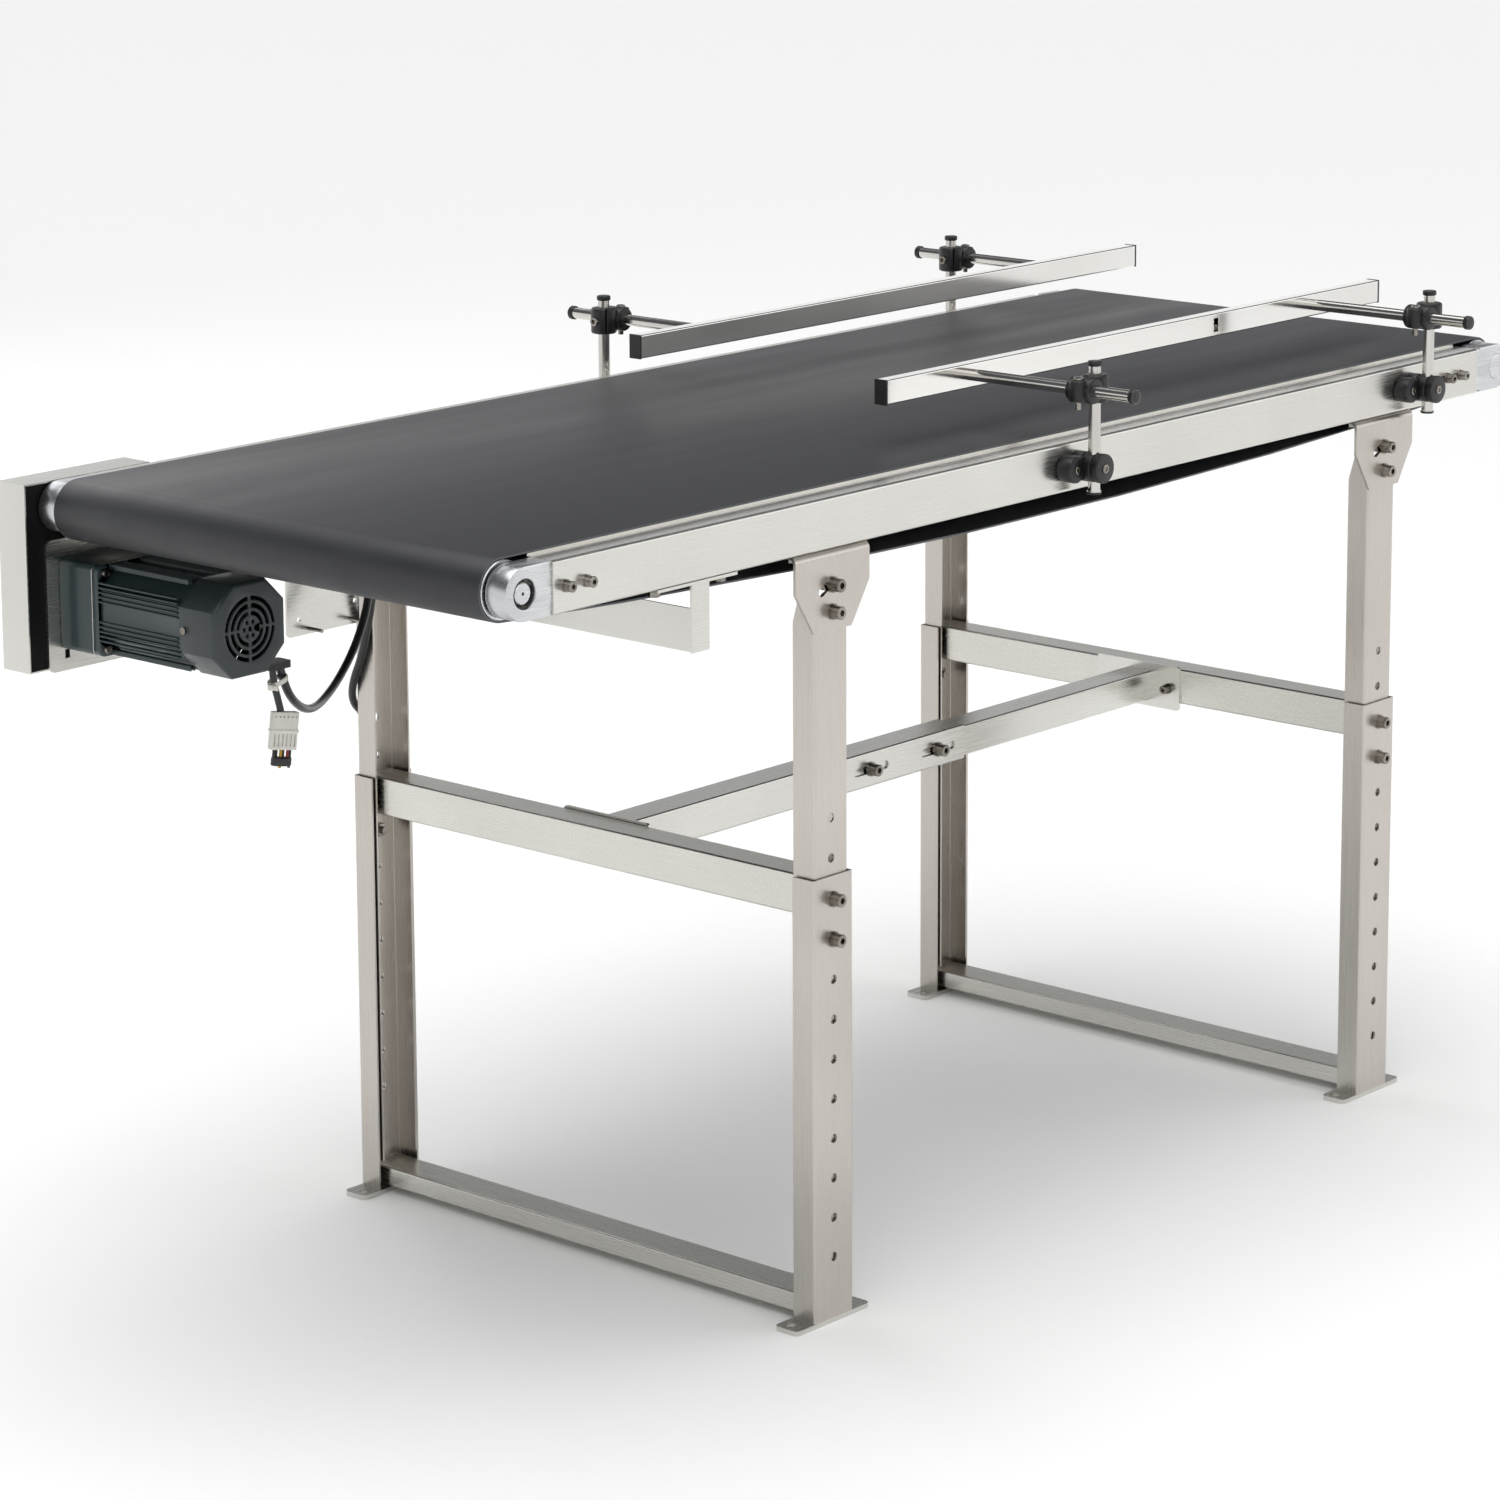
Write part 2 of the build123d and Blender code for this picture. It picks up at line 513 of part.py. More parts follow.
def block_screws(end, shift):
    out = []
    for side in (-1, 1):
        for d in (DRIVE_SCREWS if end < 0 else TAIL_SCREWS):
            x = (RAIL_X0 if end < 0 else RAIL_X1) + end * (shift - d)
            out += placed(Pos(x, side * SIDE_Y, AXIS_Z) * facing(side), socket_screw(3.0, 5.2, 6.0, 16.0))
    return out


def roller(axis_x, far_end):
    shell = round_y(axis_x, AXIS_Z, ROLLER_R, -ROLLER_HALF, ROLLER_HALF)
    shell = chamfer(shell.edges().filter_by(GeomType.CIRCLE), 0.8)
    near_end = SIDE_Y - SHEET - 2.5
    shaft = round_y(axis_x, AXIS_Z, SHAFT_R, -near_end, far_end)
    shaft = chamfer(shaft.edges().filter_by(GeomType.CIRCLE), 0.8)
    centre = round_y(axis_x, AXIS_Z, 1.6, -near_end - 1, -near_end + 6)
    return shell + shaft - centre


# ---- hanging cross bracket and control plate ----
def cross_bracket():
    tie = block(TIE_X0, TIE_X0 + TIE_T, -SIDE_Y + 1, SIDE_Y - 1, TIE_Z0, TIE_Z1)
    for side in (-1, 1):
        y = side * (SIDE_Y - 1)
        tie += block(TIE_X0, TIE_X1, y, y - side * TIE_T, TIE_Z0 - 1, RAIL_Z0)
        strip = block(STRIP_X0, STRIP_X1, y, side * STRIP_INNER_Y, RAIL_Z0 - STRIP_T, RAIL_Z0)
        for x in STRIP_BOLTS:
            strip -= round_z(x, side * STRIP_BOLT_Y, M6_HOLE_R, RAIL_Z0 - 5, RAIL_Z0 + 1)
        tie += strip
    return tie


def control_plate():
    """A folded plate under the far side rail. Its top lip stops short of the leg bracket."""
    y0, y1 = CONTROL_Y, CONTROL_Y + CONTROL_T
    web = block(CONTROL_X0, CONTROL_X1, y0, y1, CONTROL_Z0, CONTROL_WEB_TOP)
    web = fillet(web.edges().filter_by(Axis.Y), 5.0)
    lip = block(CONTROL_X0, CONTROL_LIP_X1, y0, y1, CONTROL_WEB_TOP - 8, RAIL_Z0)
    lip += block(CONTROL_X0, CONTROL_LIP_X1, y0, SIDE_Y - 1, RAIL_Z0 - CONTROL_T, RAIL_Z0)
    plate = web + lip
    for x, z in CONTROL_SCREWS:
        plate -= round_y(x, z, M4_R + 0.1, y0 - 1, y1 + 1)
    for x, z in CONTROL_HOLES:
        plate -= round_y(x, z, M5_R + 0.1, y0 - 1, y1 + 1)
    for x in CONTROL_BOLTS:
        plate -= round_z(x, CONTROL_BOLT_Y, M5_R + FIT, RAIL_Z0 - 5, RAIL_Z0 + 1)
    return plate


def pad_screw():
    """The socket screw that holds a post clamp to its side rail, from the floor of its counterbore."""
    head = Pos(0, 0, 2.5) * Cylinder(5.0, 5.0) - Pos(0, 0, 4.0) * hex_prism(5.0, 4.0)
    shank_len = PAD_BORE_Y + SHEET
    return [head + Pos(0, 0, -shank_len / 2) * Cylinder(2.95, shank_len)]


def bed_bolts():
    """Bolts up into the side rails' undersides, post clamp screws and the control plate's screws."""
    out = []
    up = Rot(180, 0, 0)
    for side in (-1, 1):
        for x, y, r, plate in underside_bolts(side):
            out += placed(Pos(x, side * y, RAIL_Z0 - plate) * up, flange_bolt(r, plate + SHEET - FIT))
    for x in POST_X:
        for side in (-1, 1):
            place = Pos(x + side * PAD_DX, side * (SIDE_Y + PAD_BORE_Y), AXIS_Z) * facing(side)
            out += placed(place, pad_screw())
    shank_len, head_h = 22.0, 2.6
    for x, z in CONTROL_SCREWS:
        screw = Cylinder(M4_R - 0.05, shank_len) + Pos(0, 0, shank_len / 2 + 1.2) * Cylinder(2 * M4_R, head_h)
        out += placed(Pos(x, CONTROL_Y - 8.4, z) * Rot(-90, 0, 0), [screw])
    return out


# ---- gearmotor ----
def motor_section(width, corner):
    return chamfer(Rectangle(width, width).vertices(), corner)


def along_y(section, y0, y1):
    """A prism of an X-Z section round the motor's axis."""
    return Pos(MOTOR_X, y0, MOTOR_Z) * Rot(-90, 0, 0) * extrude(section, y1 - y0)


def gearhead():
    square = fillet(Rectangle(MOTOR_W, MOTOR_W).vertices(), CORNER_R)
    box = along_y(square, GEAR_Y0 + SEAM_T, GEAR_Y1)
    box = fillet(box.edges().group_by(Axis.Y)[-1], 1.5)
    seam = fillet(Rectangle(MOTOR_W - 1, MOTOR_W - 1).vertices(), CORNER_R - 0.5)
    seam = along_y(seam, GEAR_Y0, GEAR_Y0 + SEAM_T)
    boss = round_y(MOTOR_X, MOTOR_Z + SHAFT_OFFSET, BOSS_R, GEAR_Y1, GEAR_Y1 + BOSS_H)
    body = box + seam + boss
    bore_r = MOTOR_SHAFT_R + 0.05
    body -= round_y(MOTOR_X, MOTOR_Z + SHAFT_OFFSET, bore_r, GEAR_Y1 - 20.0, GEAR_Y1 + BOSS_H + 1)
    for dx in (-PLATE_SCREW, PLATE_SCREW):
        for dz in (-PLATE_SCREW, PLATE_SCREW):
            x, z = MOTOR_X + dx, MOTOR_Z + dz
            body -= round_y(x, z, M5_R + 0.1, GEAR_Y1 - PLATE_SCREW_DEPTH, GEAR_Y1 + 1)
    return body


def motor_body():
    """The flange against the gearhead and the finned frame behind it."""
    flange = along_y(fillet(Rectangle(MOTOR_W, MOTOR_W).vertices(), CORNER_R), FLANGE_Y0, GEAR_Y0)
    core = along_y(motor_section(CORE_W, 20.0), BODY_Y0, FLANGE_Y0)
    for face in range(4):
        for i in range(FIN_COUNT):
            for sign in (-1, 1):
                fin = Pos(sign * (FIN_X0 + FIN_PITCH * i), CORE_W / 2 + 1) * Rectangle(*FIN_SECTION)
                core += along_y(Rot(0, 0, 90 * face) * fin, BODY_Y0 + 6, FLANGE_Y0)
    end = along_y(motor_section(CORE_W + 4, 22.0), BODY_Y0, BODY_Y0 + 6)
    shaft = round_y(MOTOR_X, MOTOR_Z, 9.0, BODY_Y0 - 4, BODY_Y0)
    body = flange + core + end + shaft
    body -= round_y(MOTOR_X, MOTOR_Z, FAN_SHAFT_R + 0.05, BODY_Y0 - 5, BODY_Y0 + 30)
    return body


def fan_cover():
    """An eight-sided cover with a bevelled end and a round grille of ring slots."""
    outer = along_y(motor_section(COVER_W, 24.0), FAN_Y0, BODY_Y0 - 0.1)
    outer = chamfer(outer.faces().sort_by(Axis.Y)[0].edges(), 3.0)
    inner = along_y(motor_section(COVER_W - 6, 22.5), FAN_Y0 + 3.0, BODY_Y0)
    cover = outer - inner
    for r0, r1 in GRILLE_RINGS:
        ring = round_y(MOTOR_X, MOTOR_Z, r1, FAN_Y0 - 1, FAN_Y0 + 4)
        ring -= round_y(MOTOR_X, MOTOR_Z, r0, FAN_Y0 - 1, FAN_Y0 + 4)
        for w, h in ((GRILLE_HALF, GRILLE_RIB), (GRILLE_RIB, GRILLE_HALF)):
            ring -= block(MOTOR_X - w, MOTOR_X + w, FAN_Y0 - 2, FAN_Y0 + 5, MOTOR_Z - h, MOTOR_Z + h)
        cover -= ring
    for i in range(6):
        a = 2 * pi * i / 6
        x, z = MOTOR_X + GRILLE_HOLES_R * cos(a), MOTOR_Z + GRILLE_HOLES_R * sin(a)
        cover -= round_y(x, z, 1.8, FAN_Y0 - 1, FAN_Y0 + 4)
    cover -= round_y(MOTOR_X, MOTOR_Z, 2.2, FAN_Y0 - 1, FAN_Y0 + 4)
    return cover


def cooling_fan():
    hub = round_y(MOTOR_X, MOTOR_Z, FAN_HUB_R, FAN_Y0 + 12, FAN_Y0 + 34)
    fan = hub + round_y(MOTOR_X, MOTOR_Z, FAN_DISC_R, FAN_Y0 + 31, FAN_Y0 + 33)
    for i in range(FAN_BLADES):
        blade = block(FAN_HUB_R - 1.5, FAN_R, FAN_Y0 + 14, FAN_Y0 + 33, -0.8, 0.8)
        fan += Pos(MOTOR_X, 0, MOTOR_Z) * Rot(0, 360 / FAN_BLADES * i, 0) * blade
    shaft = round_y(MOTOR_X, MOTOR_Z, FAN_SHAFT_R, FAN_Y0 + 30, BODY_Y0 + 25)
    return fan + shaft


def motor_screws():
    """Long screws through the motor's flange corners, and the two fan cover screws."""
    out = []
    for dx in (-CORNER_SCREW, CORNER_SCREW):
        for dz in (-CORNER_SCREW, CORNER_SCREW):
            head = Cylinder(4.2, 6.0) - Pos(0, 0, 2.5) * hex_prism(4.0, 4.0)
            place = Pos(MOTOR_X + dx, FLANGE_Y0 - 3.0, MOTOR_Z + dz) * Rot(90, 0, 0)
            out += placed(place, [head])
    for sign in (-1, 1):
        head = Cylinder(3.6, 2.2)
        out += placed(Pos(MOTOR_X + sign * (COVER_W / 2 + 1.1), BODY_Y0 - 5, MOTOR_Z) * Rot(0, 90, 0), [head])
    return out


def motor_plate():
    """The folded plate that the gearhead is bolted to, with its lip under the far side rail."""
    y0, y1 = GEAR_Y1, SIDE_Y
    plate = block(PLATE_X0, PLATE_X1, y0, y1, PLATE_Z0, PLATE_Z1)
    plate = fillet(plate.edges().filter_by(Axis.Y), 7.0)
    plate += block(PLATE_LIP_X0, PLATE_X1, y0, y1, PLATE_Z1 - 22, RAIL_Z0)
    plate += block(PLATE_LIP_X0, PLATE_X1, STRIP_INNER_Y, y1, RAIL_Z0 - STRIP_T, RAIL_Z0)
    plate -= round_y(MOTOR_X, MOTOR_Z + SHAFT_OFFSET, BOSS_R + 0.4, y0 - 1, y1 + 1)
    for x in (MOTOR_X - PLATE_SCREW, MOTOR_X + PLATE_SCREW):
        plate -= block(x - 3, x + 3, y0 - 1, y1 + 1, *PLATE_NOTCH_Z)
    for x in MOTOR_PLATE_BOLTS:
        plate -= round_z(x, PLATE_BOLT_Y, M6_HOLE_R, RAIL_Z0 - 5, RAIL_Z0 + 1)
    return plate


def cover_back():
    plate = block(COVER_X0 + 2, COVER_X1 - 2, SIDE_Y + 0.1, SIDE_Y + 2.1, COVER_Z0 + 2, COVER_Z1 - 2)
    plate -= round_y(DRIVE_X, AXIS_Z, 13.0, SIDE_Y - 1, SIDE_Y + 4)
    plate -= round_y(MOTOR_X, MOTOR_Z + SHAFT_OFFSET, 20.0, SIDE_Y - 1, SIDE_Y + 4)
    for d in DRIVE_SCREWS:
        plate -= round_y(RAIL_X0 + d, AXIS_Z, 7.5, SIDE_Y - 1, SIDE_Y + 4)
    return plate


def drive_cover():
    y0 = SIDE_Y + 0.1
    outer = block(COVER_X0, COVER_X1, y0, COVER_Y1, COVER_Z0, COVER_Z1)
    outer = fillet(outer.faces().sort_by(Axis.Y)[-1].edges(), 2.5)
    inner = block(COVER_X0 + COVER_T, COVER_X1 - COVER_T, y0 - 1, COVER_Y1 - COVER_T,
                  COVER_Z0 + COVER_T, COVER_Z1 - COVER_T)
    return outer - inner


def pulley(x, z):
    body = round_y(x, z, PULLEY_R, PULLEY_Y0, PULLEY_Y1)
    for y in (PULLEY_Y0, PULLEY_Y1 - 1.5):
        body += round_y(x, z, PULLEY_FLANGE_R, y, y + 1.5)
    return body


def roller_pulley():
    return pulley(DRIVE_X, AXIS_Z) - round_y(DRIVE_X, AXIS_Z, SHAFT_R, PULLEY_Y0 - 1, PULLEY_Y1 + 1)


def motor_pulley():
    z = MOTOR_Z + SHAFT_OFFSET
    return pulley(MOTOR_X, z) + round_y(MOTOR_X, z, MOTOR_SHAFT_R, GEAR_Y1 - 18.0, PULLEY_Y1 + 3)


def drive_belt():
    """A flat belt round both pulleys: the hull of two discs, less the same hull one thickness in."""
    def loop(r, y0, y1):
        a, b = (DRIVE_X, AXIS_Z), (MOTOR_X, MOTOR_Z + SHAFT_OFFSET)
        gap = ((b[0] - a[0]) ** 2 + (b[1] - a[1]) ** 2) ** 0.5
        nx, nz = -(b[1] - a[1]) / gap * r, (b[0] - a[0]) / gap * r
        band = Polyline((a[0] + nx, a[1] + nz), (b[0] + nx, b[1] + nz),
                        (b[0] - nx, b[1] - nz), (a[0] - nx, a[1] - nz), close=True)
        prism = Pos(0, y1, 0) * extrude(Plane.XZ * make_face(band), y1 - y0)
        return prism + round_y(*a, r, y0, y1) + round_y(*b, r, y0, y1)
    y0, y1 = PULLEY_Y0 + 2.0, PULLEY_Y1 - 2.0
    inner_r = PULLEY_R + 0.3
    return loop(inner_r + DRIVE_BELT_T, y0, y1) - loop(inner_r, y0 - 1, y1 + 1)


# ---- cables ----
def cable(name, points, radius):
    """A tube along straight runs, with each corner rounded as widely as its shorter run allows."""
    points = [Vector(*p) for p in points]
    runs = [b - a for a, b in zip(points, points[1:])]
    radii = []
    for before, after in zip(runs, runs[1:]):
        half_turn = radians(before.get_angle(after)) / 2
        radii.append(FILL * min(before.length, after.length) / tan(half_turn))
    path = FilletPolyline(*points, radius=radii)
    tube = sweep(Plane(path @ 0, z_dir=path % 0) * Circle(radius), path=path)
    print(name, "length", round(path.length), "radii", [round(r) for r in radii],
          "volume ratio", round(tube.volume / (pi * radius ** 2 * path.length), 4))
    return tube


def connector():
    """A six-way plug at the end of the motor lead, with its short cut leads."""
    width, depth, height = 27.0, 9.0, 37.0
    pitch, lead_r = 4.2, 1.8
    shape = fillet(Box(width, depth, height).edges().filter_by(Axis.Y), 1.0)
    for i in range(6):
        x = pitch * (i - 2.5)
        shape -= Pos(x, -depth / 2, -8.5) * Box(1.6, 3.0, 13.0)
        shape -= Pos(x, -depth / 2, 14.5) * Box(1.8, 3.0, 1.8)
    for i in range(5):
        lead_len = 18.0 + (i % 2) * 4
        shape += Pos(4.0 * (i - 2), 0, -(height + lead_len) / 2 + 2) * Cylinder(lead_r, lead_len)
    return Pos(*CONNECTOR_AT) * Rot(0, PLUG_TILT, PLUG_TURN) * shape


def supply_plug():
    """The round in-line connector on the supply cable, with its tapered strain relief."""
    relief_len, body_len = 14.0, 26.0
    relief = Pos(0, 0, -relief_len / 2) * Cone(7.0, 5.2, relief_len)
    body = Pos(0, 0, -relief_len - body_len / 2) * Cylinder(8.5, body_len)
    body = fillet(body.edges().filter_by(GeomType.CIRCLE), 1.2)
    socket = Pos(0, 0, -relief_len - body_len) * (Cylinder(6.6, 12.0) - Cylinder(4.8, 12.0))
    return Pos(*SUPPLY_PLUG) * (relief + body - socket)


def cable_fittings():
    """The rubber gland under the motor, and the hook on the control plate that carries the cable."""
    gland = fillet(block(*GLAND).edges().filter_by(Axis.Z), 4.0)
    x0, x1 = CABLE_HOOK_X - 3.5, CABLE_HOOK_X + 3.5
    z0 = CABLE_HOOK_TOP - 2.5
    hook = block(x0, x1, CABLE_HOOK_Y, CONTROL_Y, z0, CABLE_HOOK_TOP)
    hook += block(x0, x1, CABLE_HOOK_Y, CABLE_HOOK_Y + 2, z0, CABLE_HOOK_TOP + 6.0)
    return [gland, hook]


# ---- guard rails ----
def lower_clamp(x, side):
    """A post clamp on the side rail: a round pad with its bolt, and a split knuckle round the post."""
    pad = round_y(PAD_DX, 0, KNUCKLE_R, 0, PAD_DEPTH)
    bridge = block(0, PAD_DX, 0, PAD_DEPTH, -KNUCKLE_R + 2, KNUCKLE_R - 2)
    knuckle = round_y(0, 0, KNUCKLE_R, 0, KNUCKLE_DEPTH)
    body = pad + bridge + knuckle
    body -= round_z(0, POST_Y - SIDE_Y, ROD_R + ROD_GAP, -20, 20)
    body -= round_y(PAD_DX, 0, M6_HOLE_R, -1, PAD_DEPTH + 1)
    body -= round_y(PAD_DX, 0, PAD_BORE_R, PAD_BORE_Y, PAD_DEPTH + 1)
    body -= round_y(0, 0, M6_HOLE_R, KNUCKLE_DEPTH - 4, KNUCKLE_DEPTH + 1)
    place = Pos(x, 0, AXIS_Z)
    if side > 0:
        return place * Pos(0, SIDE_Y, 0) * body
    return place * Rot(0, 0, 180) * Pos(0, SIDE_Y, 0) * body


def post_assembly(x, side):
    """A post and its two end caps, with the centre line through x on the given side."""
    y = side * POST_Y
    post = round_z(x, y, ROD_R, POST_Z0 + 3, POST_Z1 - 3)
    low = round_z(x, y, POST_CAP_LOW_R, POST_Z0, POST_Z0 + 3)
    low = fillet(low.edges().group_by(Axis.Z)[0], CAP_EDGE)
    top = round_z(x, y, CAP_R, POST_Z1 - 4, POST_Z1)
    top = fillet(top.edges().group_by(Axis.Z)[-1], CAP_EDGE)
    return post + low + top


def cross_clamp(x, side):
    """Holds a guard arm square to its post, with the two bores side by side."""
    arm = arm_x(x, side)
    y = side * POST_Y
    body = round_z(x, y, CLAMP_R, GUARD_Z - CLAMP_H / 2, GUARD_Z + CLAMP_H / 2)
    body += round_y(arm, GUARD_Z, CLAMP_R, y - ARM_SLEEVE_HALF, y + ARM_SLEEVE_HALF)
    body += block(x, arm, y - CLAMP_WEB_Y, y + CLAMP_WEB_Y, GUARD_Z - CLAMP_WEB_Z, GUARD_Z + CLAMP_WEB_Z)
    body -= round_z(x, y, ROD_R, GUARD_Z - 20, GUARD_Z + 20)
    body -= round_y(arm, GUARD_Z, ROD_R + ROD_GAP, y - 20, y + 20)
    return body


def arm_x(x, side):
    return x + side * ARM_DX


def guard_span(side):
    """The far guard is the near one turned half round about the middle of the posts."""
    mid = sum(POST_X)
    return (GUARD_X0, GUARD_X1) if side < 0 else (mid - GUARD_X1, mid - GUARD_X0)


def guard_rail(side):
    x0, x1 = guard_span(side)
    tube = Rot(0, 0, -90) * tube_y(GUARD_T, GUARD_H, GUARD_WALL, x0 + GUARD_CAP_T, x1 - GUARD_CAP_T, 1.5)
    rail = Pos(0, side * (GUARD_Y - GUARD_T / 2), GUARD_Z) * tube
    slot_mid = (x0 + x1) / 2 - side * GUARD_SLOT_X
    y0, y1 = side * (GUARD_Y - 3), side * (GUARD_Y + 1)
    w, h = GUARD_SLOT
    rail -= block(slot_mid - w / 2, slot_mid + w / 2, y0, y1, GUARD_Z - h / 2, GUARD_Z + h / 2)
    return rail


def guard_arms(side):
    out = []
    for x in POST_X:
        arm = round_y(arm_x(x, side), GUARD_Z, ROD_R, side * GUARD_Y, side * ARM_END)
        out += [arm + round_y(arm_x(x, side), GUARD_Z, CAP_R, side * (ARM_END - 2), side * (ARM_END + 4))]
    return out


def guard_caps(side):
    x0, x1 = guard_span(side)
    y = side * (GUARD_Y - GUARD_T / 2)
    out = []
    for x, sign in ((x0, 1), (x1, -1)):
        w, h = GUARD_T / 2 + GUARD_CAP_OUT, GUARD_H / 2 + GUARD_CAP_OUT
        inner = x + sign * GUARD_CAP_T
        cap = block(x, inner, y - w, y + w, GUARD_Z - h, GUARD_Z + h)
        w, h = GUARD_T / 2 - GUARD_PLUG_IN, GUARD_H / 2 - GUARD_PLUG_IN
        out.append(cap + block(inner, inner + sign * GUARD_PLUG_LEN, y - w, y + w, GUARD_Z - h, GUARD_Z + h))
    return out


# ---- build every node ----
for e_name, e in ENDS.items():
    for s_name, s in SIDES.items():
        keep(f"lower_leg_{e_name}_{s_name}", lower_leg(e, s))
        keep(f"upper_leg_{e_name}_{s_name}", upper_leg(e, s))
keep("foot_plates", [foot_plate(e, s) for e in (-1, 1) for s in (-1, 1)])
keep("bottom_cross_tubes", [bottom_tube(e) for e in (-1, 1)])
keep("mid_cross_tubes", [mid_tube(e) for e in (-1, 1)])
keep("stretcher_outer", stretcher(-1))
keep("stretcher_inner", stretcher(1))
keep("stand_bolts", stretcher_bolts() + leg_bolts())
for s_name, s in SIDES.items():
    keep(f"side_rail_{s_name}", side_rail(s))
    keep(f"tail_block_{s_name}", end_block(1, s, TAKE_UP_OUT))
    keep(f"{s_name}_posts", [post_assembly(x, s) for x in POST_X])
    keep(f"{s_name}_cross_clamps", [cross_clamp(x, s) for x in POST_X])
    keep(f"{s_name}_guard_rail", guard_rail(s))
    keep(f"{s_name}_guard_arms", guard_arms(s))
    keep(f"{s_name}_guard_caps", guard_caps(s))
keep("leg_brackets", [leg_bracket(e, s) for e in (-1, 1) for s in (-1, 1)])
keep("bracket_bolts", bracket_bolts())
keep("drive_blocks", [end_block(-1, s, 0.0) for s in (-1, 1)])
keep("post_clamps", [lower_clamp(x, s) for x in POST_X for s in (-1, 1)])
keep("slider_bed", slider_bed())
keep("bed_cross_members", [bed_cross_member(x) for x in CROSS_X])
keep("conveyor_belt", conveyor_belt())
keep("drive_bearings", [bearing(DRIVE_X, s) for s in (-1, 1)])
keep("drive_block_screws", block_screws(-1, 0.0))
keep("tail_bearings", [bearing(TAIL_X, s) for s in (-1, 1)])
keep("take_up_screws", block_screws(1, TAKE_UP_OUT))
keep("drive_roller", roller(DRIVE_X, PULLEY_Y1 + 3))
keep("tail_roller", roller(TAIL_X, SIDE_Y - SHEET - 2.5))
keep("roller_pulley", roller_pulley())
keep("motor_pulley", motor_pulley())
keep("drive_belt", drive_belt())
keep("cross_bracket", cross_bracket())
keep("control_plate", control_plate())
keep("bed_bolts", bed_bolts())
keep("motor_plate", motor_plate())
keep("gearhead", gearhead())
keep("motor_body", motor_body())
keep("fan_cover", fan_cover())
keep("cooling_fan", cooling_fan())
keep("motor_screws", motor_screws())
keep("cover_back_plate", cover_back())
keep("drive_cover", drive_cover())
keep("motor_lead", cable("motor_lead", LEAD, LEAD_R))
keep("supply_cable", cable("supply_cable", SUPPLY, CABLE_R))
keep("supply_plug", supply_plug())
keep("lead_connector", connector())
keep("cable_fittings", cable_fittings())

os.makedirs("parts", exist_ok=True)
for name, shape in PARTS.items():
    export_step(shape, f"parts/{name}.step")
print(len(PARTS), "nodes")
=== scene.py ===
import logging
import math
from dataclasses import dataclass
from enum import Enum
from typing import Any, Iterable

import bmesh
import bpy
from mathutils import Matrix, Vector


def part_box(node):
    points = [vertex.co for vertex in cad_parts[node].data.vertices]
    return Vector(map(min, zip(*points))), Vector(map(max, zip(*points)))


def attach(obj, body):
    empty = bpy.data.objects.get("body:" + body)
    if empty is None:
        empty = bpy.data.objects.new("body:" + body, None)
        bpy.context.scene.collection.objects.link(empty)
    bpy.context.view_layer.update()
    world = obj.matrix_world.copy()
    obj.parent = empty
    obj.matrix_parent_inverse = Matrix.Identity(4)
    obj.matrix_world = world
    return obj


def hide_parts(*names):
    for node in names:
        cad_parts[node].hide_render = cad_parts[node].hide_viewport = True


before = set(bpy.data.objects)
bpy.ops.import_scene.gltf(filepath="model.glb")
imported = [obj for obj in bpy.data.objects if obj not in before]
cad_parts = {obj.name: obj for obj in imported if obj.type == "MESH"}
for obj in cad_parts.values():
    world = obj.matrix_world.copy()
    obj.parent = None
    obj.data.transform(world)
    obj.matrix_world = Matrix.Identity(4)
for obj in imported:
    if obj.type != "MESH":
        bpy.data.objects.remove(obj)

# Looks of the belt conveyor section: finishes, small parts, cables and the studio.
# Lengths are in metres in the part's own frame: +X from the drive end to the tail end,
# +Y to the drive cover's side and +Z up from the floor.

LOG = logging.getLogger("conveyor")
MM = 0.001
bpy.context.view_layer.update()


class Axis(Enum):
    """A direction along the conveyor, across it or up."""

    X = (1.0, 0.0, 0.0)
    Y = (0.0, 1.0, 0.0)
    Z = (0.0, 0.0, 1.0)


class Side(Enum):
    """The near side carries no cover, the far side carries the drive cover."""

    NEAR = -1
    FAR = 1

    @property
    def word(self) -> str:
        """The side's name as the nodes spell it."""
        return self.name.lower()


# ---------------------------------------------------------------- colour and nodes
def linear(hex_colour: str) -> tuple[float, float, float, float]:
    """Turns an sRGB hex colour into linear light.

    Args:
        hex_colour: six hex digits, such as "C8C5BF".

    Returns:
        Red, green and blue in linear light, and an alpha of one.
    """
    channels = [int(hex_colour[i:i + 2], 16) / 255 for i in (0, 2, 4)]
    red, green, blue = [c / 12.92 if c <= 0.04045 else ((c + 0.055) / 1.055) ** 2.4 for c in channels]
    return red, green, blue, 1.0


def add_node(tree: bpy.types.NodeTree, kind: str, inputs: dict | None = None,
             **settings: Any) -> bpy.types.Node:
    """Adds one node to a tree.

    Args:
        tree: the tree that gets the node.
        kind: the node's type name.
        inputs: sockets by name or number, each with a value or another node's output.
        settings: the node's own properties.

    Returns:
        The new node.
    """
    made = tree.nodes.new(kind)
    for name, value in settings.items():
        setattr(made, name, value)
    for key, value in (inputs or {}).items():
        if isinstance(value, bpy.types.NodeSocket):
            tree.links.new(value, made.inputs[key])
        else:
            made.inputs[key].default_value = value
    return made


def new_surface(name: str) -> tuple[bpy.types.Material, bpy.types.NodeTree, bpy.types.Node,
                                    bpy.types.NodeSocket]:
    """Starts a material with an empty principled surface on Object coordinates.

    Args:
        name: the material's name.

    Returns:
        The material, its tree, the principled shader and the coordinate output.
    """
    material = bpy.data.materials.new(name)
    material.use_nodes = True
    tree = material.node_tree
    tree.nodes.clear()
    shader = add_node(tree, "ShaderNodeBsdfPrincipled")
    add_node(tree, "ShaderNodeOutputMaterial", {"Surface": shader.outputs["BSDF"]})
    place = add_node(tree, "ShaderNodeTexCoord")
    return material, tree, shader, place.outputs["Object"]


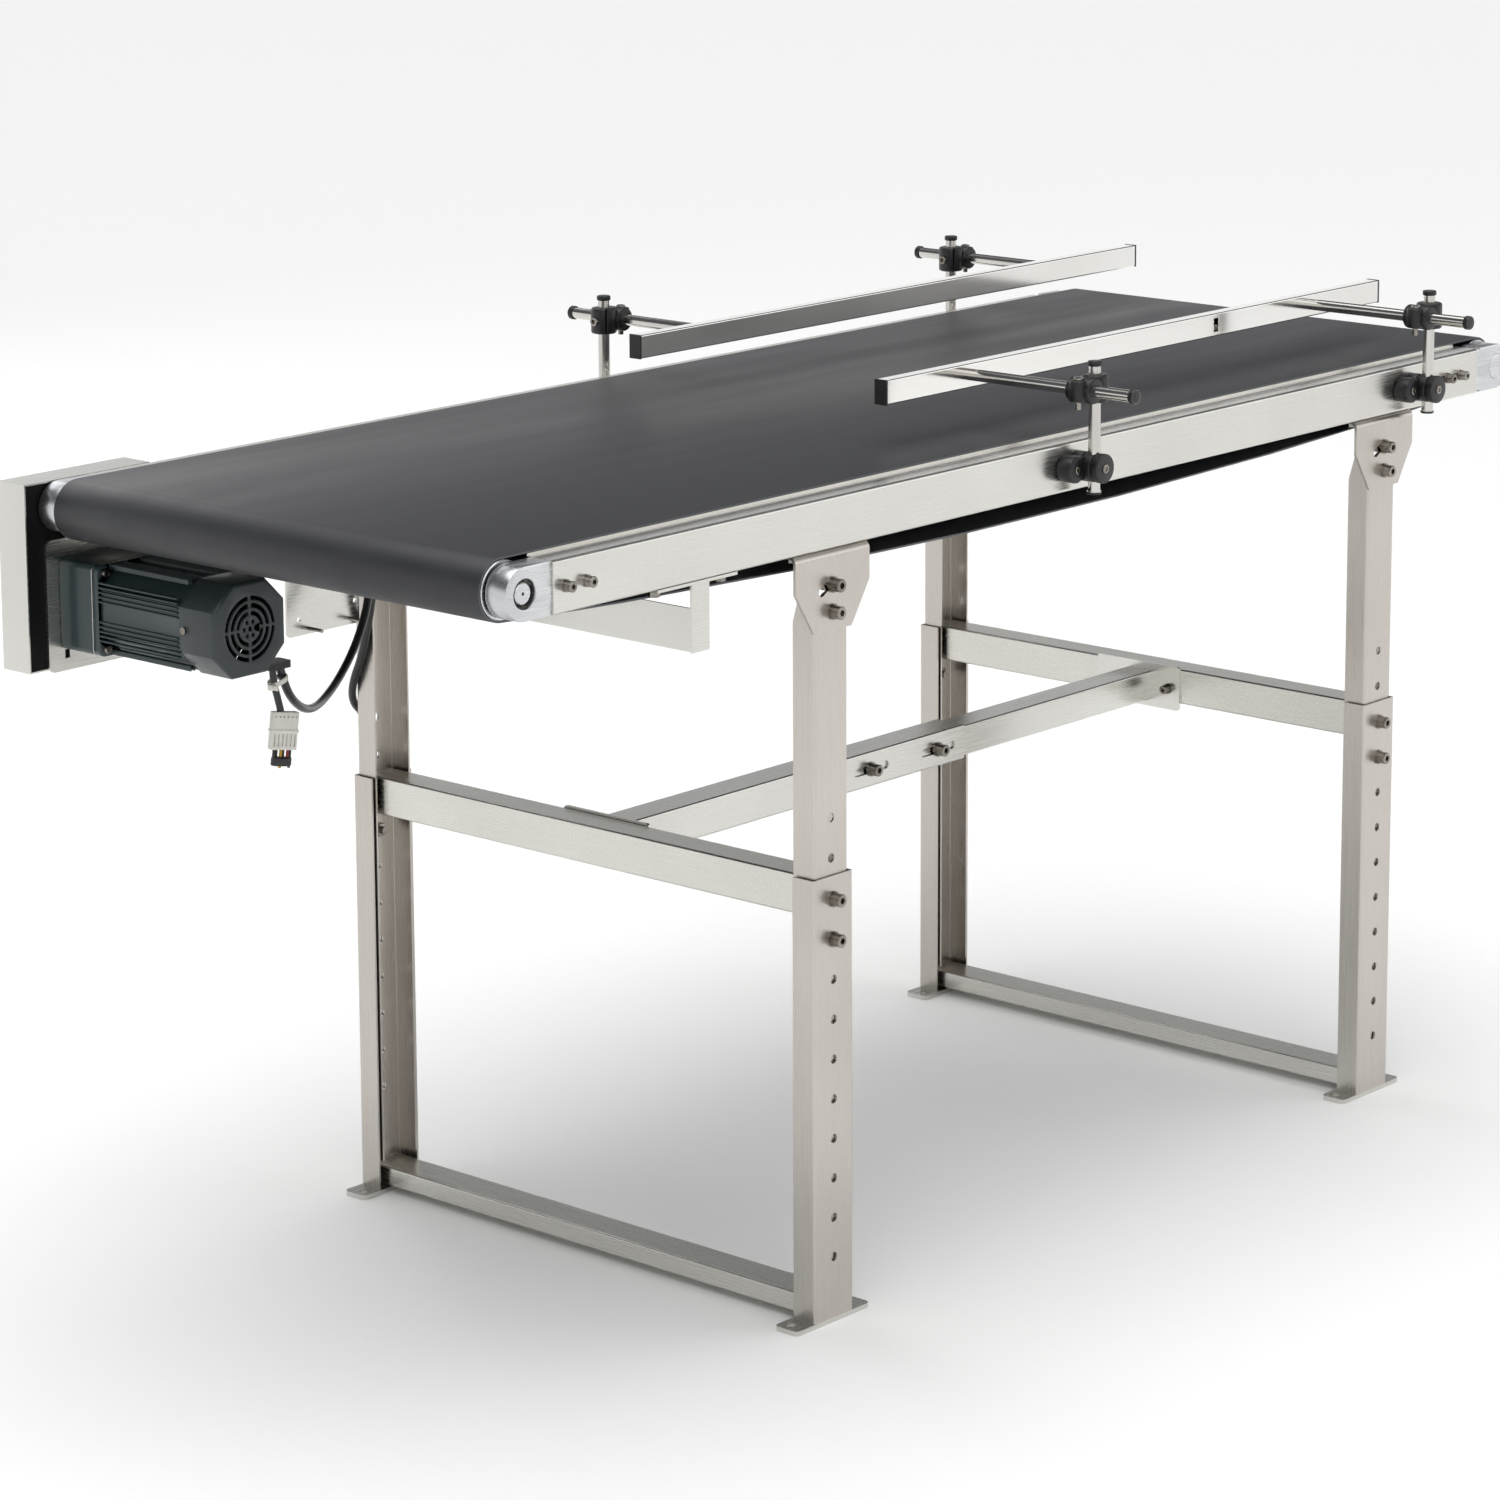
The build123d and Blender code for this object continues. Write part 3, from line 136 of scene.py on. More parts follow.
# ---------------------------------------------------------------- finishes
@dataclass(frozen=True)
class RolledSteel:
    """Cold-rolled or brushed metal sheet: fine lines one way, and a slow change of tint.

    Real brushing is about 0.05 mm wide, too fine to show, so the lines are drawn at line_mm.
    """

    name: str
    light: str
    dark: str
    grain: Axis
    roughness: float = 0.3
    spread: float = 0.07
    line_mm: float = 0.7
    length_mm: float = 90.0
    tint_mm: float = 160.0
    relief_mm: float = 0.006

    def material(self) -> bpy.types.Material:
        """Builds the metal's material."""
        material, tree, shader, place = new_surface(self.name)
        scale = [1 / (self.length_mm * MM) if c else 1 / (self.line_mm * MM) for c in self.grain.value]
        stretched = add_node(tree, "ShaderNodeMapping", {"Vector": place, "Scale": scale})
        lines = add_node(tree, "ShaderNodeTexNoise", {
            "Vector": stretched.outputs[0], "Scale": 1.0, "Detail": 3.0, "Roughness": 0.6})
        slow = add_node(tree, "ShaderNodeTexNoise", {
            "Vector": place, "Scale": 1 / (self.tint_mm * MM), "Detail": 1.0})
        blend = add_node(tree, "ShaderNodeMath", {0: lines.outputs["Fac"], 1: slow.outputs["Fac"]},
                         operation="MULTIPLY")
        share = add_node(tree, "ShaderNodeMapRange", {
            "Value": blend.outputs[0], "From Min": 0.12, "From Max": 0.42})
        tint = add_node(tree, "ShaderNodeMix", {
            "Factor": share.outputs[0], "A": linear(self.dark), "B": linear(self.light)}, data_type="RGBA")
        gloss = add_node(tree, "ShaderNodeMapRange", {
            "Value": lines.outputs["Fac"], "From Min": 0.25, "From Max": 0.75,
            "To Min": self.roughness - self.spread, "To Max": self.roughness + self.spread})
        relief = add_node(tree, "ShaderNodeBump", {
            "Height": lines.outputs["Fac"], "Strength": 0.35, "Distance": self.relief_mm * MM})
        tree.links.new(tint.outputs["Result"], shader.inputs["Base Color"])
        tree.links.new(gloss.outputs[0], shader.inputs["Roughness"])
        tree.links.new(relief.outputs[0], shader.inputs["Normal"])
        shader.inputs["Metallic"].default_value = 1.0
        return material


@dataclass(frozen=True)
class MouldedPolymer:
    """A moulded plastic or rubber: a fine grain in the surface, and slightly uneven gloss."""

    name: str
    colour: str
    shade: str
    roughness: float = 0.45
    grain_mm: float = 0.5
    relief_mm: float = 0.02
    coat: float = 0.0
    specular: float = 0.5
    patch_mm: float = 25.0
    spread: float = 0.05

    def material(self) -> bpy.types.Material:
        """Builds the polymer's material."""
        material, tree, shader, place = new_surface(self.name)
        grain = add_node(tree, "ShaderNodeTexNoise", {
            "Vector": place, "Scale": 1 / (self.grain_mm * MM), "Detail": 2.0})
        patches = add_node(tree, "ShaderNodeTexNoise", {
            "Vector": place, "Scale": 1 / (self.patch_mm * MM), "Detail": 3.0})
        tint = add_node(tree, "ShaderNodeMix", {
            "Factor": patches.outputs["Fac"], "A": linear(self.shade), "B": linear(self.colour)},
            data_type="RGBA")
        gloss = add_node(tree, "ShaderNodeMapRange", {
            "Value": patches.outputs["Fac"], "From Min": 0.3, "From Max": 0.7,
            "To Min": self.roughness - self.spread, "To Max": self.roughness + self.spread})
        relief = add_node(tree, "ShaderNodeBump", {
            "Height": grain.outputs["Fac"], "Strength": 0.4, "Distance": self.relief_mm * MM})
        tree.links.new(tint.outputs["Result"], shader.inputs["Base Color"])
        tree.links.new(gloss.outputs[0], shader.inputs["Roughness"])
        tree.links.new(relief.outputs[0], shader.inputs["Normal"])
        shader.inputs["Coat Weight"].default_value = self.coat
        shader.inputs["Specular IOR Level"].default_value = self.specular
        return material


@dataclass(frozen=True)
class BeltCover:
    """A matte PVC belt: a fine pebbled cover, and the lighter fabric ply showing at its cut edges.

    The ply shows within edge_mm of half_width, and rub_scale stretches the wear along the belt.
    """

    name: str
    colour: str
    shade: str
    ply: str
    half_width: float
    roughness: float = 0.5
    spread: float = 0.06
    pebble_mm: float = 1.2
    relief_mm: float = 0.03
    edge_mm: float = 0.25
    rub_scale: tuple[float, float, float] = (2.0, 14.0, 2.0)

    def material(self) -> bpy.types.Material:
        """Builds the belt's material."""
        material, tree, shader, place = new_surface(self.name)
        pebble = add_node(tree, "ShaderNodeTexVoronoi", {
            "Vector": place, "Scale": 1 / (self.pebble_mm * MM)}, feature="SMOOTH_F1")
        rub = add_node(tree, "ShaderNodeMapping", {"Vector": place, "Scale": self.rub_scale})
        streaks = add_node(tree, "ShaderNodeTexNoise", {
            "Vector": rub.outputs[0], "Scale": 1.0, "Detail": 4.0})
        tint = add_node(tree, "ShaderNodeMix", {
            "Factor": streaks.outputs["Fac"], "A": linear(self.shade), "B": linear(self.colour)},
            data_type="RGBA")
        parts = add_node(tree, "ShaderNodeSeparateXYZ", {"Vector": place})
        across = add_node(tree, "ShaderNodeMath", {0: parts.outputs["Y"]}, operation="ABSOLUTE")
        edge = add_node(tree, "ShaderNodeMath", {
            0: across.outputs[0], 1: self.half_width - self.edge_mm * MM}, operation="GREATER_THAN")
        cut = add_node(tree, "ShaderNodeMix", {
            "Factor": edge.outputs[0], "A": tint.outputs["Result"], "B": linear(self.ply)}, data_type="RGBA")
        gloss = add_node(tree, "ShaderNodeMapRange", {
            "Value": streaks.outputs["Fac"], "From Min": 0.3, "From Max": 0.7,
            "To Min": self.roughness - self.spread, "To Max": self.roughness + self.spread})
        relief = add_node(tree, "ShaderNodeBump", {
            "Height": pebble.outputs["Distance"], "Strength": 0.25, "Distance": self.relief_mm * MM})
        tree.links.new(cut.outputs["Result"], shader.inputs["Base Color"])
        tree.links.new(gloss.outputs[0], shader.inputs["Roughness"])
        tree.links.new(relief.outputs[0], shader.inputs["Normal"])
        return material


# austenitic stainless, brushed down the length of each leg: warm mid grey with a soft sheen
LEG_STEEL = RolledSteel("stainless_brushed_upright", "C9C4BE", "BDB8B1", Axis.Z, 0.3)
# the same sheet along the rails and plates, a touch brighter
RAIL_STEEL = RolledSteel("stainless_brushed_lengthways", "D9D8D3", "CECCC7", Axis.X, 0.25)
# cross tubes, brushed across the conveyor
TUBE_STEEL = RolledSteel("stainless_brushed_crossways", "D8D7D1", "CECCC5", Axis.Y, 0.28)
# guard rails: mechanically polished, so nearly a mirror; rods: as bright, with faint drawing lines
POLISHED_STEEL = RolledSteel("stainless_polished", "F0EFEC", "E6E4E0", Axis.X, 0.11, 0.03, 0.5, 140.0,
                             200.0, 0.002)
DRAWN_ROD = RolledSteel("stainless_drawn_rod", "D8D6D2", "C2BFBA", Axis.Z, 0.14, 0.04, 0.4, 60.0, 90.0, 0.003)
# end blocks: milled aluminium, cooler than steel, with long cutter lines
MILLED_ALUMINIUM = RolledSteel("aluminium_milled", "D9DADC", "C3C5C8", Axis.X, 0.3, 0.08, 0.9, 70.0,
                               80.0, 0.01)
# fasteners: stainless and zinc-plated steel, slightly darker than the sheet
SCREW_STEEL = RolledSteel("steel_fastener", "A8A39C", "6F6A63", Axis.Z, 0.2, 0.08, 0.3, 6.0, 20.0, 0.01)
# belt: extruded charcoal PVC cover, matte, so its sheen is broad and faint
BELT_PVC = BeltCover("belt_pvc_matte", "2C2D30", "27282B", "55565A", 0.285)
# toothed drive belt: moulded rubber, dull and almost black
DRIVE_RUBBER = MouldedPolymer("rubber_drive_belt", "222224", "1A1A1B", 0.6, 0.8)
# clamps and caps: glass-filled nylon, satin black with moulded grain
NYLON = MouldedPolymer("nylon_black_moulded", "121316", "0C0D0F", 0.4, 0.45, 0.02)
# connector and tie: unfilled nylon, milky white and a little glossy
WHITE_NYLON = MouldedPolymer("nylon_natural_moulded", "E4E2DB", "D2CFC6", 0.48, 0.6, 0.01)
# motor: dark green-grey baked enamel over a die casting, with a little orange peel
ENAMEL = MouldedPolymer("enamel_green_grey", "2B3A3D", "223033", 0.36, 1.6, 0.03, 0.25)
# fan cover: the same enamel over pressed sheet, flatter and darker
FAN_COVER_ENAMEL = MouldedPolymer("enamel_fan_cover", "2E3638", "262E30", 0.44, 1.2, 0.03, 0.1)
# cover's back plate: near black and matte, with a low specular level so that it hardly reflects
NEAR_BLACK_BACK_PLATE = MouldedPolymer("paint_black_satin", "0B0B0C", "070708", 0.6, 1.0, 0.02, 0.0, 0.15)
# cables: smooth extruded PVC, glossier than the clamps
SHEATH = MouldedPolymer("cable_pvc_extruded", "1B1C1E", "131315", 0.33, 2.5, 0.02, 0.15)
YELLOW_LEAD = MouldedPolymer("lead_pvc_yellow", "C9A227", "A88416", 0.4, 1.5, 0.01)
RED_LEAD = MouldedPolymer("lead_pvc_red", "8C2A22", "6E1F19", 0.4, 1.5, 0.01)
# floor: matte white background paper
FLOOR_PAPER = MouldedPolymer("floor_paper", "FAFAF9", "F8F8F7", 0.8, 4.0, 0.01)

_made: dict[str, bpy.types.Material] = {}


def dress(piece: bpy.types.Object, finish: RolledSteel | MouldedPolymer | BeltCover) -> None:
    """Gives a piece one finish.

    Args:
        piece: a mesh or curve object.
        finish: the finish, whose material is built the first time it is used.
    """
    if finish.name not in _made:
        _made[finish.name] = finish.material()
    slots = piece.data.materials
    slots.clear()
    slots.append(_made[finish.name])


# ---------------------------------------------------------------- bench: modelling as by hand
def only(piece: bpy.types.Object) -> None:
    """Deselects everything, then selects one object and makes it active."""
    bpy.ops.object.select_all(action="DESELECT")
    piece.select_set(True)
    bpy.context.view_layer.objects.active = piece


def settle(name: str) -> bpy.types.Object:
    """Names the active object and puts its place into its mesh."""
    piece = bpy.context.view_layer.objects.active
    piece.name = piece.data.name = name
    bpy.ops.object.transform_apply(location=True, rotation=True, scale=True)
    return piece


def turned_rod(name: str, axis: Axis, centre: Iterable[float], radius: float, start: float, end: float,
               sides: int = 48) -> bpy.types.Object:
    """Adds a round bar along an axis.

    Args:
        name: the object's name.
        axis: the bar's direction.
        centre: a point on its axis; the coordinate along the axis isn't used.
        radius: its radius.
        start: where it starts, along the axis.
        end: where it ends.
        sides: the facets round it.

    Returns:
        The bar, with its place in its mesh.
    """
    along = axis.value.index(1.0)
    middle = list(centre)
    middle[along] = (start + end) / 2
    turn = {Axis.X: (0, math.pi / 2, 0), Axis.Y: (math.pi / 2, 0, 0), Axis.Z: (0, 0, 0)}[axis]
    bpy.ops.object.select_all(action="DESELECT")
    bpy.ops.mesh.primitive_cylinder_add(vertices=sides, radius=radius, depth=abs(end - start),
                                        location=middle, rotation=turn)
    return settle(name)


def slab(name: str, low: Iterable[float], high: Iterable[float]) -> bpy.types.Object:
    """Adds a box between two corners, with its place in its mesh."""
    low, high = Vector(low), Vector(high)
    bpy.ops.object.select_all(action="DESELECT")
    bpy.ops.mesh.primitive_cube_add(size=1.0, location=(low + high) / 2)
    bpy.context.view_layer.objects.active.scale = high - low
    return settle(name)


def rounded(piece: bpy.types.Object, width: float, segments: int = 3,
            limit: float = 35.0) -> bpy.types.Object:
    """Rounds a piece's sharp edges and shades it smooth.

    Args:
        piece: the mesh object.
        width: the edge's width.
        segments: the facets across each edge.
        limit: the smallest angle that counts as an edge, in degrees.

    Returns:
        The same piece.
    """
    only(piece)
    bevel = piece.modifiers.new("edges", "BEVEL")
    bevel.width = width
    bevel.segments = segments
    bevel.limit_method = "ANGLE"
    bevel.angle_limit = math.radians(limit)
    bevel.use_clamp_overlap = False
    bpy.ops.object.modifier_apply(modifier=bevel.name)
    bpy.ops.object.shade_smooth_by_angle(angle=math.radians(limit))
    return piece


def cut(piece: bpy.types.Object, tools: list[bpy.types.Object]) -> bpy.types.Object:
    """Cuts tools out of a piece, and removes the tools."""
    for tool in tools:
        only(piece)
        hole = piece.modifiers.new("cut", "BOOLEAN")
        hole.operation = "DIFFERENCE"
        hole.solver = "EXACT"
        hole.object = tool
        bpy.ops.object.modifier_apply(modifier=hole.name)
        bpy.data.objects.remove(tool)
    return piece


def joined(name: str, pieces: list[bpy.types.Object]) -> bpy.types.Object:
    """Joins pieces into one object that keeps each piece's material."""
    bpy.ops.object.select_all(action="DESELECT")
    for piece in pieces:
        piece.select_set(True)
    bpy.context.view_layer.objects.active = pieces[0]
    bpy.ops.object.join()
    pieces[0].name = pieces[0].data.name = name
    return pieces[0]


# how near two corners are to be one, and how flat a join is to be no edge, in degrees
SAME_PLACE, FLAT_JOIN = 0.005 * MM, 0.6


def softened(node: str, name: str, width: float, segments: int = 2) -> bpy.types.Object:
    """Copies a node's mesh, merges its loose triangles and rounds its sharp edges.

    Args:
        node: the CAD node.
        name: the new piece's name.
        width: the rounded edge's width.
        segments: the facets across each edge.

    Returns:
        The new piece, which still has to be dressed and to replace the node.
    """
    piece = bpy.data.objects.new(name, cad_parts[node].data.copy())
    bpy.context.scene.collection.objects.link(piece)
    piece.data.name = name
    only(piece)
    bpy.ops.object.mode_set(mode="EDIT")
    bpy.ops.mesh.select_all(action="SELECT")
    bpy.ops.mesh.remove_doubles(threshold=SAME_PLACE)
    bpy.ops.mesh.dissolve_limited(angle_limit=math.radians(FLAT_JOIN))
    bpy.ops.mesh.select_all(action="SELECT")
    bpy.ops.mesh.customdata_custom_splitnormals_clear()
    bpy.ops.object.mode_set(mode="OBJECT")
    return rounded(piece, width, segments)


def set_in_place(piece: bpy.types.Object, body: str, slot: str, *replaced: str) -> bpy.types.Object:
    """Makes a new piece ride on a body, and hides the CAD nodes that it stands for.

    Args:
        piece: the finished piece.
        body: the body that it rides on.
        slot: not used.
        replaced: the CAD nodes that it stands for.

    Returns:
        The same piece.
    """
    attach(piece, body)
    if replaced:
        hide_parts(*replaced)
    triangles = sum(len(p.vertices) - 2 for p in piece.data.polygons) if piece.type == "MESH" else 0
    LOG.info("%s on %s, %d triangles", piece.name, body, triangles)
    return piece


# a socket head's rounding, its socket's radius and floor, and how far the socket's tool reaches past it
HEAD_EDGE, SOCKET_RADIUS, SOCKET_FLOOR, SOCKET_PAST = 0.12, 0.58, 0.45, 1.4


def socket_head(name: str, axis: Axis, base: Iterable[float], outward: float, radius: float,
                height: float) -> bpy.types.Object:
    """Models a socket-head screw's head with its hexagon socket.

    Args:
        name: the piece's name.
        axis: the screw's axis.
        base: the middle of the head's underside.
        outward: +1 or -1, the way that the head faces along the axis.
        radius: the head's radius.
        height: the head's height.

    Returns:
        The head, dressed as steel.
    """
    along = axis.value.index(1.0)
    base = list(base)
    foot = base[along]
    head = turned_rod(name, axis, base, radius, foot, foot + outward * height, 32)
    rounded(head, radius * HEAD_EDGE, 2)
    socket = turned_rod("socket", axis, base, radius * SOCKET_RADIUS, foot + outward * height * SOCKET_FLOOR,
                        foot + outward * height * SOCKET_PAST, 6)
    cut(head, [socket])
    dress(head, SCREW_STEEL)
    return head


# ---------------------------------------------------------------- sub-assemblies
@dataclass
class Stand:
    """Two leg frames of nested channels, joined by a telescoping stretcher."""

    legs: tuple[str, ...] = tuple(f"{part}_leg_{end}_{side.word}" for part in ("lower", "upper")
                                  for end in ("drive", "tail") for side in Side)
    crossways: tuple[str, ...] = ("bottom_cross_tubes", "mid_cross_tubes")
    lengthways: tuple[str, ...] = ("stretcher_outer", "stretcher_inner", "foot_plates")

    def build(self) -> None:
        """Dresses the stand's nodes."""
        for node in self.legs:
            dress(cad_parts[node], LEG_STEEL)
        for node in self.crossways:
            dress(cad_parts[node], TUBE_STEEL)
        for node in self.lengthways:
            dress(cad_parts[node], RAIL_STEEL)
        dress(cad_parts["stand_bolts"], SCREW_STEEL)
        LOG.info("stand dressed")


@dataclass
class Bed:
    """The rails, slider bed, end blocks and rollers, and what hangs from them."""

    edge: float = 0.8 * MM
    tail_x: float = 688 * MM
    axis_z: float = 795 * MM
    block_face: float = 312.9 * MM
    disc_radius: float = 13.95 * MM
    disc_depth: float = 2.1 * MM
    disc_edge: float = 0.15 * MM
    steel: tuple[str, ...] = ("side_rail_near", "side_rail_far", "slider_bed", "control_plate", "motor_plate",
                              "cross_bracket", "drive_cover")
    screws: tuple[str, ...] = ("bed_bolts", "bracket_bolts", "drive_block_screws", "take_up_screws",
                               "drive_bearings", "tail_bearings", "motor_pulley")
    aluminium: tuple[str, ...] = ("drive_roller", "tail_roller", "roller_pulley")
    blocks: tuple[tuple[str, str], ...] = (("drive_blocks", "conveyor"), ("tail_block_near", "take_up"),
                                           ("tail_block_far", "take_up"))

    def build(self) -> None:
        """Dresses the bed's nodes, and rounds the edges of the end blocks."""
        for node in self.steel:
            dress(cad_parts[node], RAIL_STEEL)
        dress(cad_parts["bed_cross_members"], TUBE_STEEL)
        dress(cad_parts["leg_brackets"], LEG_STEEL)
        for node in self.screws:
            dress(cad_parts[node], SCREW_STEEL)
        for node in self.aluminium:
            dress(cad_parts[node], MILLED_ALUMINIUM)
        dress(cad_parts["drive_belt"], DRIVE_RUBBER)
        # the cover's back plate gets a near-black finish with a low specular level
        dress(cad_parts["cover_back_plate"], NEAR_BLACK_BACK_PLATE)
        for node, body in self.blocks:
            block = softened(node, f"{node}_milled", self.edge)
            dress(block, MILLED_ALUMINIUM)
            set_in_place(block, body, "machined_aluminium", node)
        self.blanking_discs()

    def blanking_discs(self) -> None:
        """Models the flush discs that close the tail blocks' bores from outside."""
        discs = []
        for side in Side:
            face = side.value * self.block_face
            disc = turned_rod("disc", Axis.Y, (self.tail_x, 0, self.axis_z), self.disc_radius,
                              face - side.value * self.disc_depth, face, 96)
            discs.append(rounded(disc, self.disc_edge, 2))
            dress(disc, MILLED_ALUMINIUM)
        set_in_place(joined("tail_block_blanking_discs", discs), "take_up", "machined_aluminium")


@dataclass
class Belt:
    """The endless belt, with slightly rounded cut edges."""

    edge: float = 0.4 * MM

    def build(self) -> None:
        """Models the belt from its node's path."""
        belt = softened("conveyor_belt", "belt_cover_and_ply", self.edge)
        dress(belt, BELT_PVC)
        set_in_place(belt, "conveyor", "belt_cover", "conveyor_belt")


@dataclass
class GuardRails:
    """Both side guards with their arms, posts, clamps and caps.

    A screw is given as its head's radius and height, and a half as half a block's size.
    """

    post_x: tuple[float, float] = (-84 * MM, 516 * MM)
    rail_face: float = 315 * MM
    post_y: float = 335 * MM
    axis_z: float = 795 * MM
    guard_z: float = 876 * MM
    rod: float = 6.2 * MM
    bore_gap: float = 0.15 * MM
    cap_wall: float = 1.3 * MM
    cap_edge: float = 1.3 * MM
    cap_past: float = 0.2 * MM
    low_cap: float = 2.8 * MM
    top_cap: float = 5 * MM
    arm_cap: float = 6.3 * MM
    sleeve: float = 14.0 * MM
    sleeve_height: float = 28.0 * MM
    sleeve_edge: float = 2.2 * MM
    arm_sleeve: float = 13.0 * MM
    arm_sleeve_half: float = 15 * MM
    arm_offset: float = 18.0 * MM
    web_half: tuple[float, float] = (9 * MM, 11 * MM)
    web_edge: float = 1.5 * MM
    ear: float = 9.5 * MM
    ear_offset: float = 9 * MM
    ear_ends: tuple[float, float] = (-10.5 * MM, 11 * MM)
    ear_edge: float = 2 * MM
    slit_offset: float = 11 * MM
    slit_half: float = 0.7 * MM
    tool_half: tuple[float, float] = (40 * MM, 20 * MM)
    ear_screw: tuple[float, float] = (5.0 * MM, 3.4 * MM)
    ear_screw_z: float = 10.4 * MM
    tip: float = 2.9 * MM
    tip_ends: tuple[float, float] = (-19 * MM, -9 * MM)
    tip_edge: float = 0.5 * MM
    back_screw: tuple[float, float] = (4.8 * MM, 5 * MM)
    back_screw_sink: float = 2 * MM
    slot_screw: tuple[float, float] = (3.4 * MM, 2.0 * MM)
    slot_screw_sink: float = 2.2 * MM
    slot_from_middle: float = 122 * MM
    slot_drop: float = 3 * MM
    pad: float = 13.5 * MM
    pad_offset: float = 24.0 * MM
    pad_depth: float = 18 * MM
    pad_edge: float = 2.5 * MM
    pad_screw: tuple[float, float] = (4.4 * MM, 1.4 * MM)
    neck_depth: float = 16 * MM
    neck_half: float = 12 * MM
    knuckle: float = 15.0 * MM
    knuckle_depth: float = 34.0 * MM
    knuckle_edge: float = 1.2 * MM
    knuckle_screw: tuple[float, float] = (4.6 * MM, 1.6 * MM)
    knuckle_discs: tuple = ((0.0, 11.0 * MM), (12.2 * MM, 24.8 * MM), (26.0 * MM, 34.0 * MM))
    core_step: float = 1.3 * MM
    core_depth: float = 33 * MM
    screw_sink: float = 0.3 * MM

    def build(self) -> None:
        """Builds both sides."""
        for side in Side:
            dress(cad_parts[f"{side.word}_guard_rail"], POLISHED_STEEL)
            for part in ("guard_arms", "posts"):
                dress(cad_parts[f"{side.word}_{part}"], DRAWN_ROD)
            dress(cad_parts[f"{side.word}_guard_caps"], NYLON)
            self.cross_clamps(side)
            self.rod_caps(side)
            self.guard_screw(side)
        self.post_clamps()

    def cross_clamps(self, side: Side) -> None:
        """Builds one side's clamps between posts and arms, as nylon and screws."""
        bodies, screws = [], []
        for x in self.post_x:
            bodies += self.crossed_sleeves(side, x)
            screws += self.crossed_screws(side, x)
        clamp = joined(f"{side.word}_cross_clamp_sleeves", bodies)
        set_in_place(clamp, f"{side.word}_posts", "black_nylon", f"{side.word}_cross_clamps")
        set_in_place(joined(f"{side.word}_cross_clamp_screws", screws), f"{side.word}_posts",
                     "steel_fasteners")

    def crossed_sleeves(self, side: Side, x: float) -> list[bpy.types.Object]:
        """Models one clamp's nylon: a split sleeve on the post, one on the arm, their web and an ear.

        Args:
            side: the conveyor's side.
            x: the post's place along the conveyor.

        Returns:
            The four dressed pieces.
        """
        sign, z = side.value, self.guard_z
        y, arm = sign * self.post_y, x + sign * self.arm_offset
        deep, tall = self.web_half
        post_sleeve = turned_rod("post_sleeve", Axis.Z, (x, y, z), self.sleeve,
                                 z - self.sleeve_height / 2, z + self.sleeve_height / 2)
        rounded(post_sleeve, self.sleeve_edge)
        arm_sleeve = turned_rod("arm_sleeve", Axis.Y, (arm, y, z), self.arm_sleeve,
                                y - self.arm_sleeve_half, y + self.arm_sleeve_half)
        rounded(arm_sleeve, self.sleeve_edge)
        web = slab("web", (min(x, arm), y - deep, z - tall), (max(x, arm), y + deep, z + tall))
        rounded(web, self.web_edge)
        ear = turned_rod("ear", Axis.Z, (arm + sign * self.ear_offset, y, z), self.ear,
                         z + self.ear_ends[0], z + self.ear_ends[1])
        rounded(ear, self.ear_edge)
        along, up = self.tool_half
        bore = turned_rod("bore", Axis.Z, (x, y, z), self.rod + self.bore_gap, z - up, z + up)
        cut(post_sleeve, [bore])
        slit_y = y - sign * self.slit_offset
        slit = slab("slit", (x - along, slit_y - self.slit_half, z - up),
                    (x + along, slit_y + self.slit_half, z + up))
        cut(post_sleeve, [slit])
        bodies = [post_sleeve, arm_sleeve, web, ear]
        for part in bodies:
            dress(part, NYLON)
        return bodies

    def crossed_screws(self, side: Side, x: float) -> list[bpy.types.Object]:
        """Models one clamp's screws: the ear's head and tip, and the head on the post sleeve's back.

        Args:
            side: the conveyor's side.
            x: the post's place along the conveyor.

        Returns:
            The three dressed pieces.
        """
        sign, z = side.value, self.guard_z
        y = sign * self.post_y
        ear_x = x + sign * self.arm_offset + sign * self.ear_offset
        top = socket_head("clamp_screw_top", Axis.Z, (ear_x, y, z + self.ear_screw_z), 1, *self.ear_screw)
        tip = turned_rod("clamp_screw_tip", Axis.Z, (ear_x, y, z), self.tip,
                         z + self.tip_ends[0], z + self.tip_ends[1], 24)
        rounded(tip, self.tip_edge, 2)
        dress(tip, SCREW_STEEL)
        back_x = x - sign * self.sleeve + sign * self.back_screw_sink
        back = socket_head("clamp_screw_side", Axis.X, (back_x, y, z), -sign, *self.back_screw)
        return [top, tip, back]

    def rod_caps(self, side: Side) -> None:
        """Models the black caps on the ends of the posts and of the arms."""
        sign, radius = side.value, self.rod + self.cap_wall
        low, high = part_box(f"{side.word}_posts")
        caps = []
        for x in self.post_x:
            for start, end in ((low.z - self.cap_past, low.z + self.low_cap),
                               (high.z + self.cap_past, high.z - self.top_cap)):
                cap = turned_rod("cap", Axis.Z, (x, sign * self.post_y, 0), radius, start, end)
                caps.append(rounded(cap, self.cap_edge))
                dress(cap, NYLON)
        set_in_place(joined(f"{side.word}_post_end_caps", caps), f"{side.word}_posts", "black_nylon")
        low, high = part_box(f"{side.word}_guard_arms")
        tip = high.y if sign > 0 else low.y
        caps = []
        for x in self.post_x:
            cap = turned_rod("cap", Axis.Y, (x + sign * self.arm_offset, 0, self.guard_z), radius,
                             tip - sign * self.arm_cap, tip + sign * self.cap_past)
            caps.append(rounded(cap, self.cap_edge))
            dress(cap, NYLON)
        set_in_place(joined(f"{side.word}_arm_end_caps", caps), f"{side.word}_guard", "black_nylon")

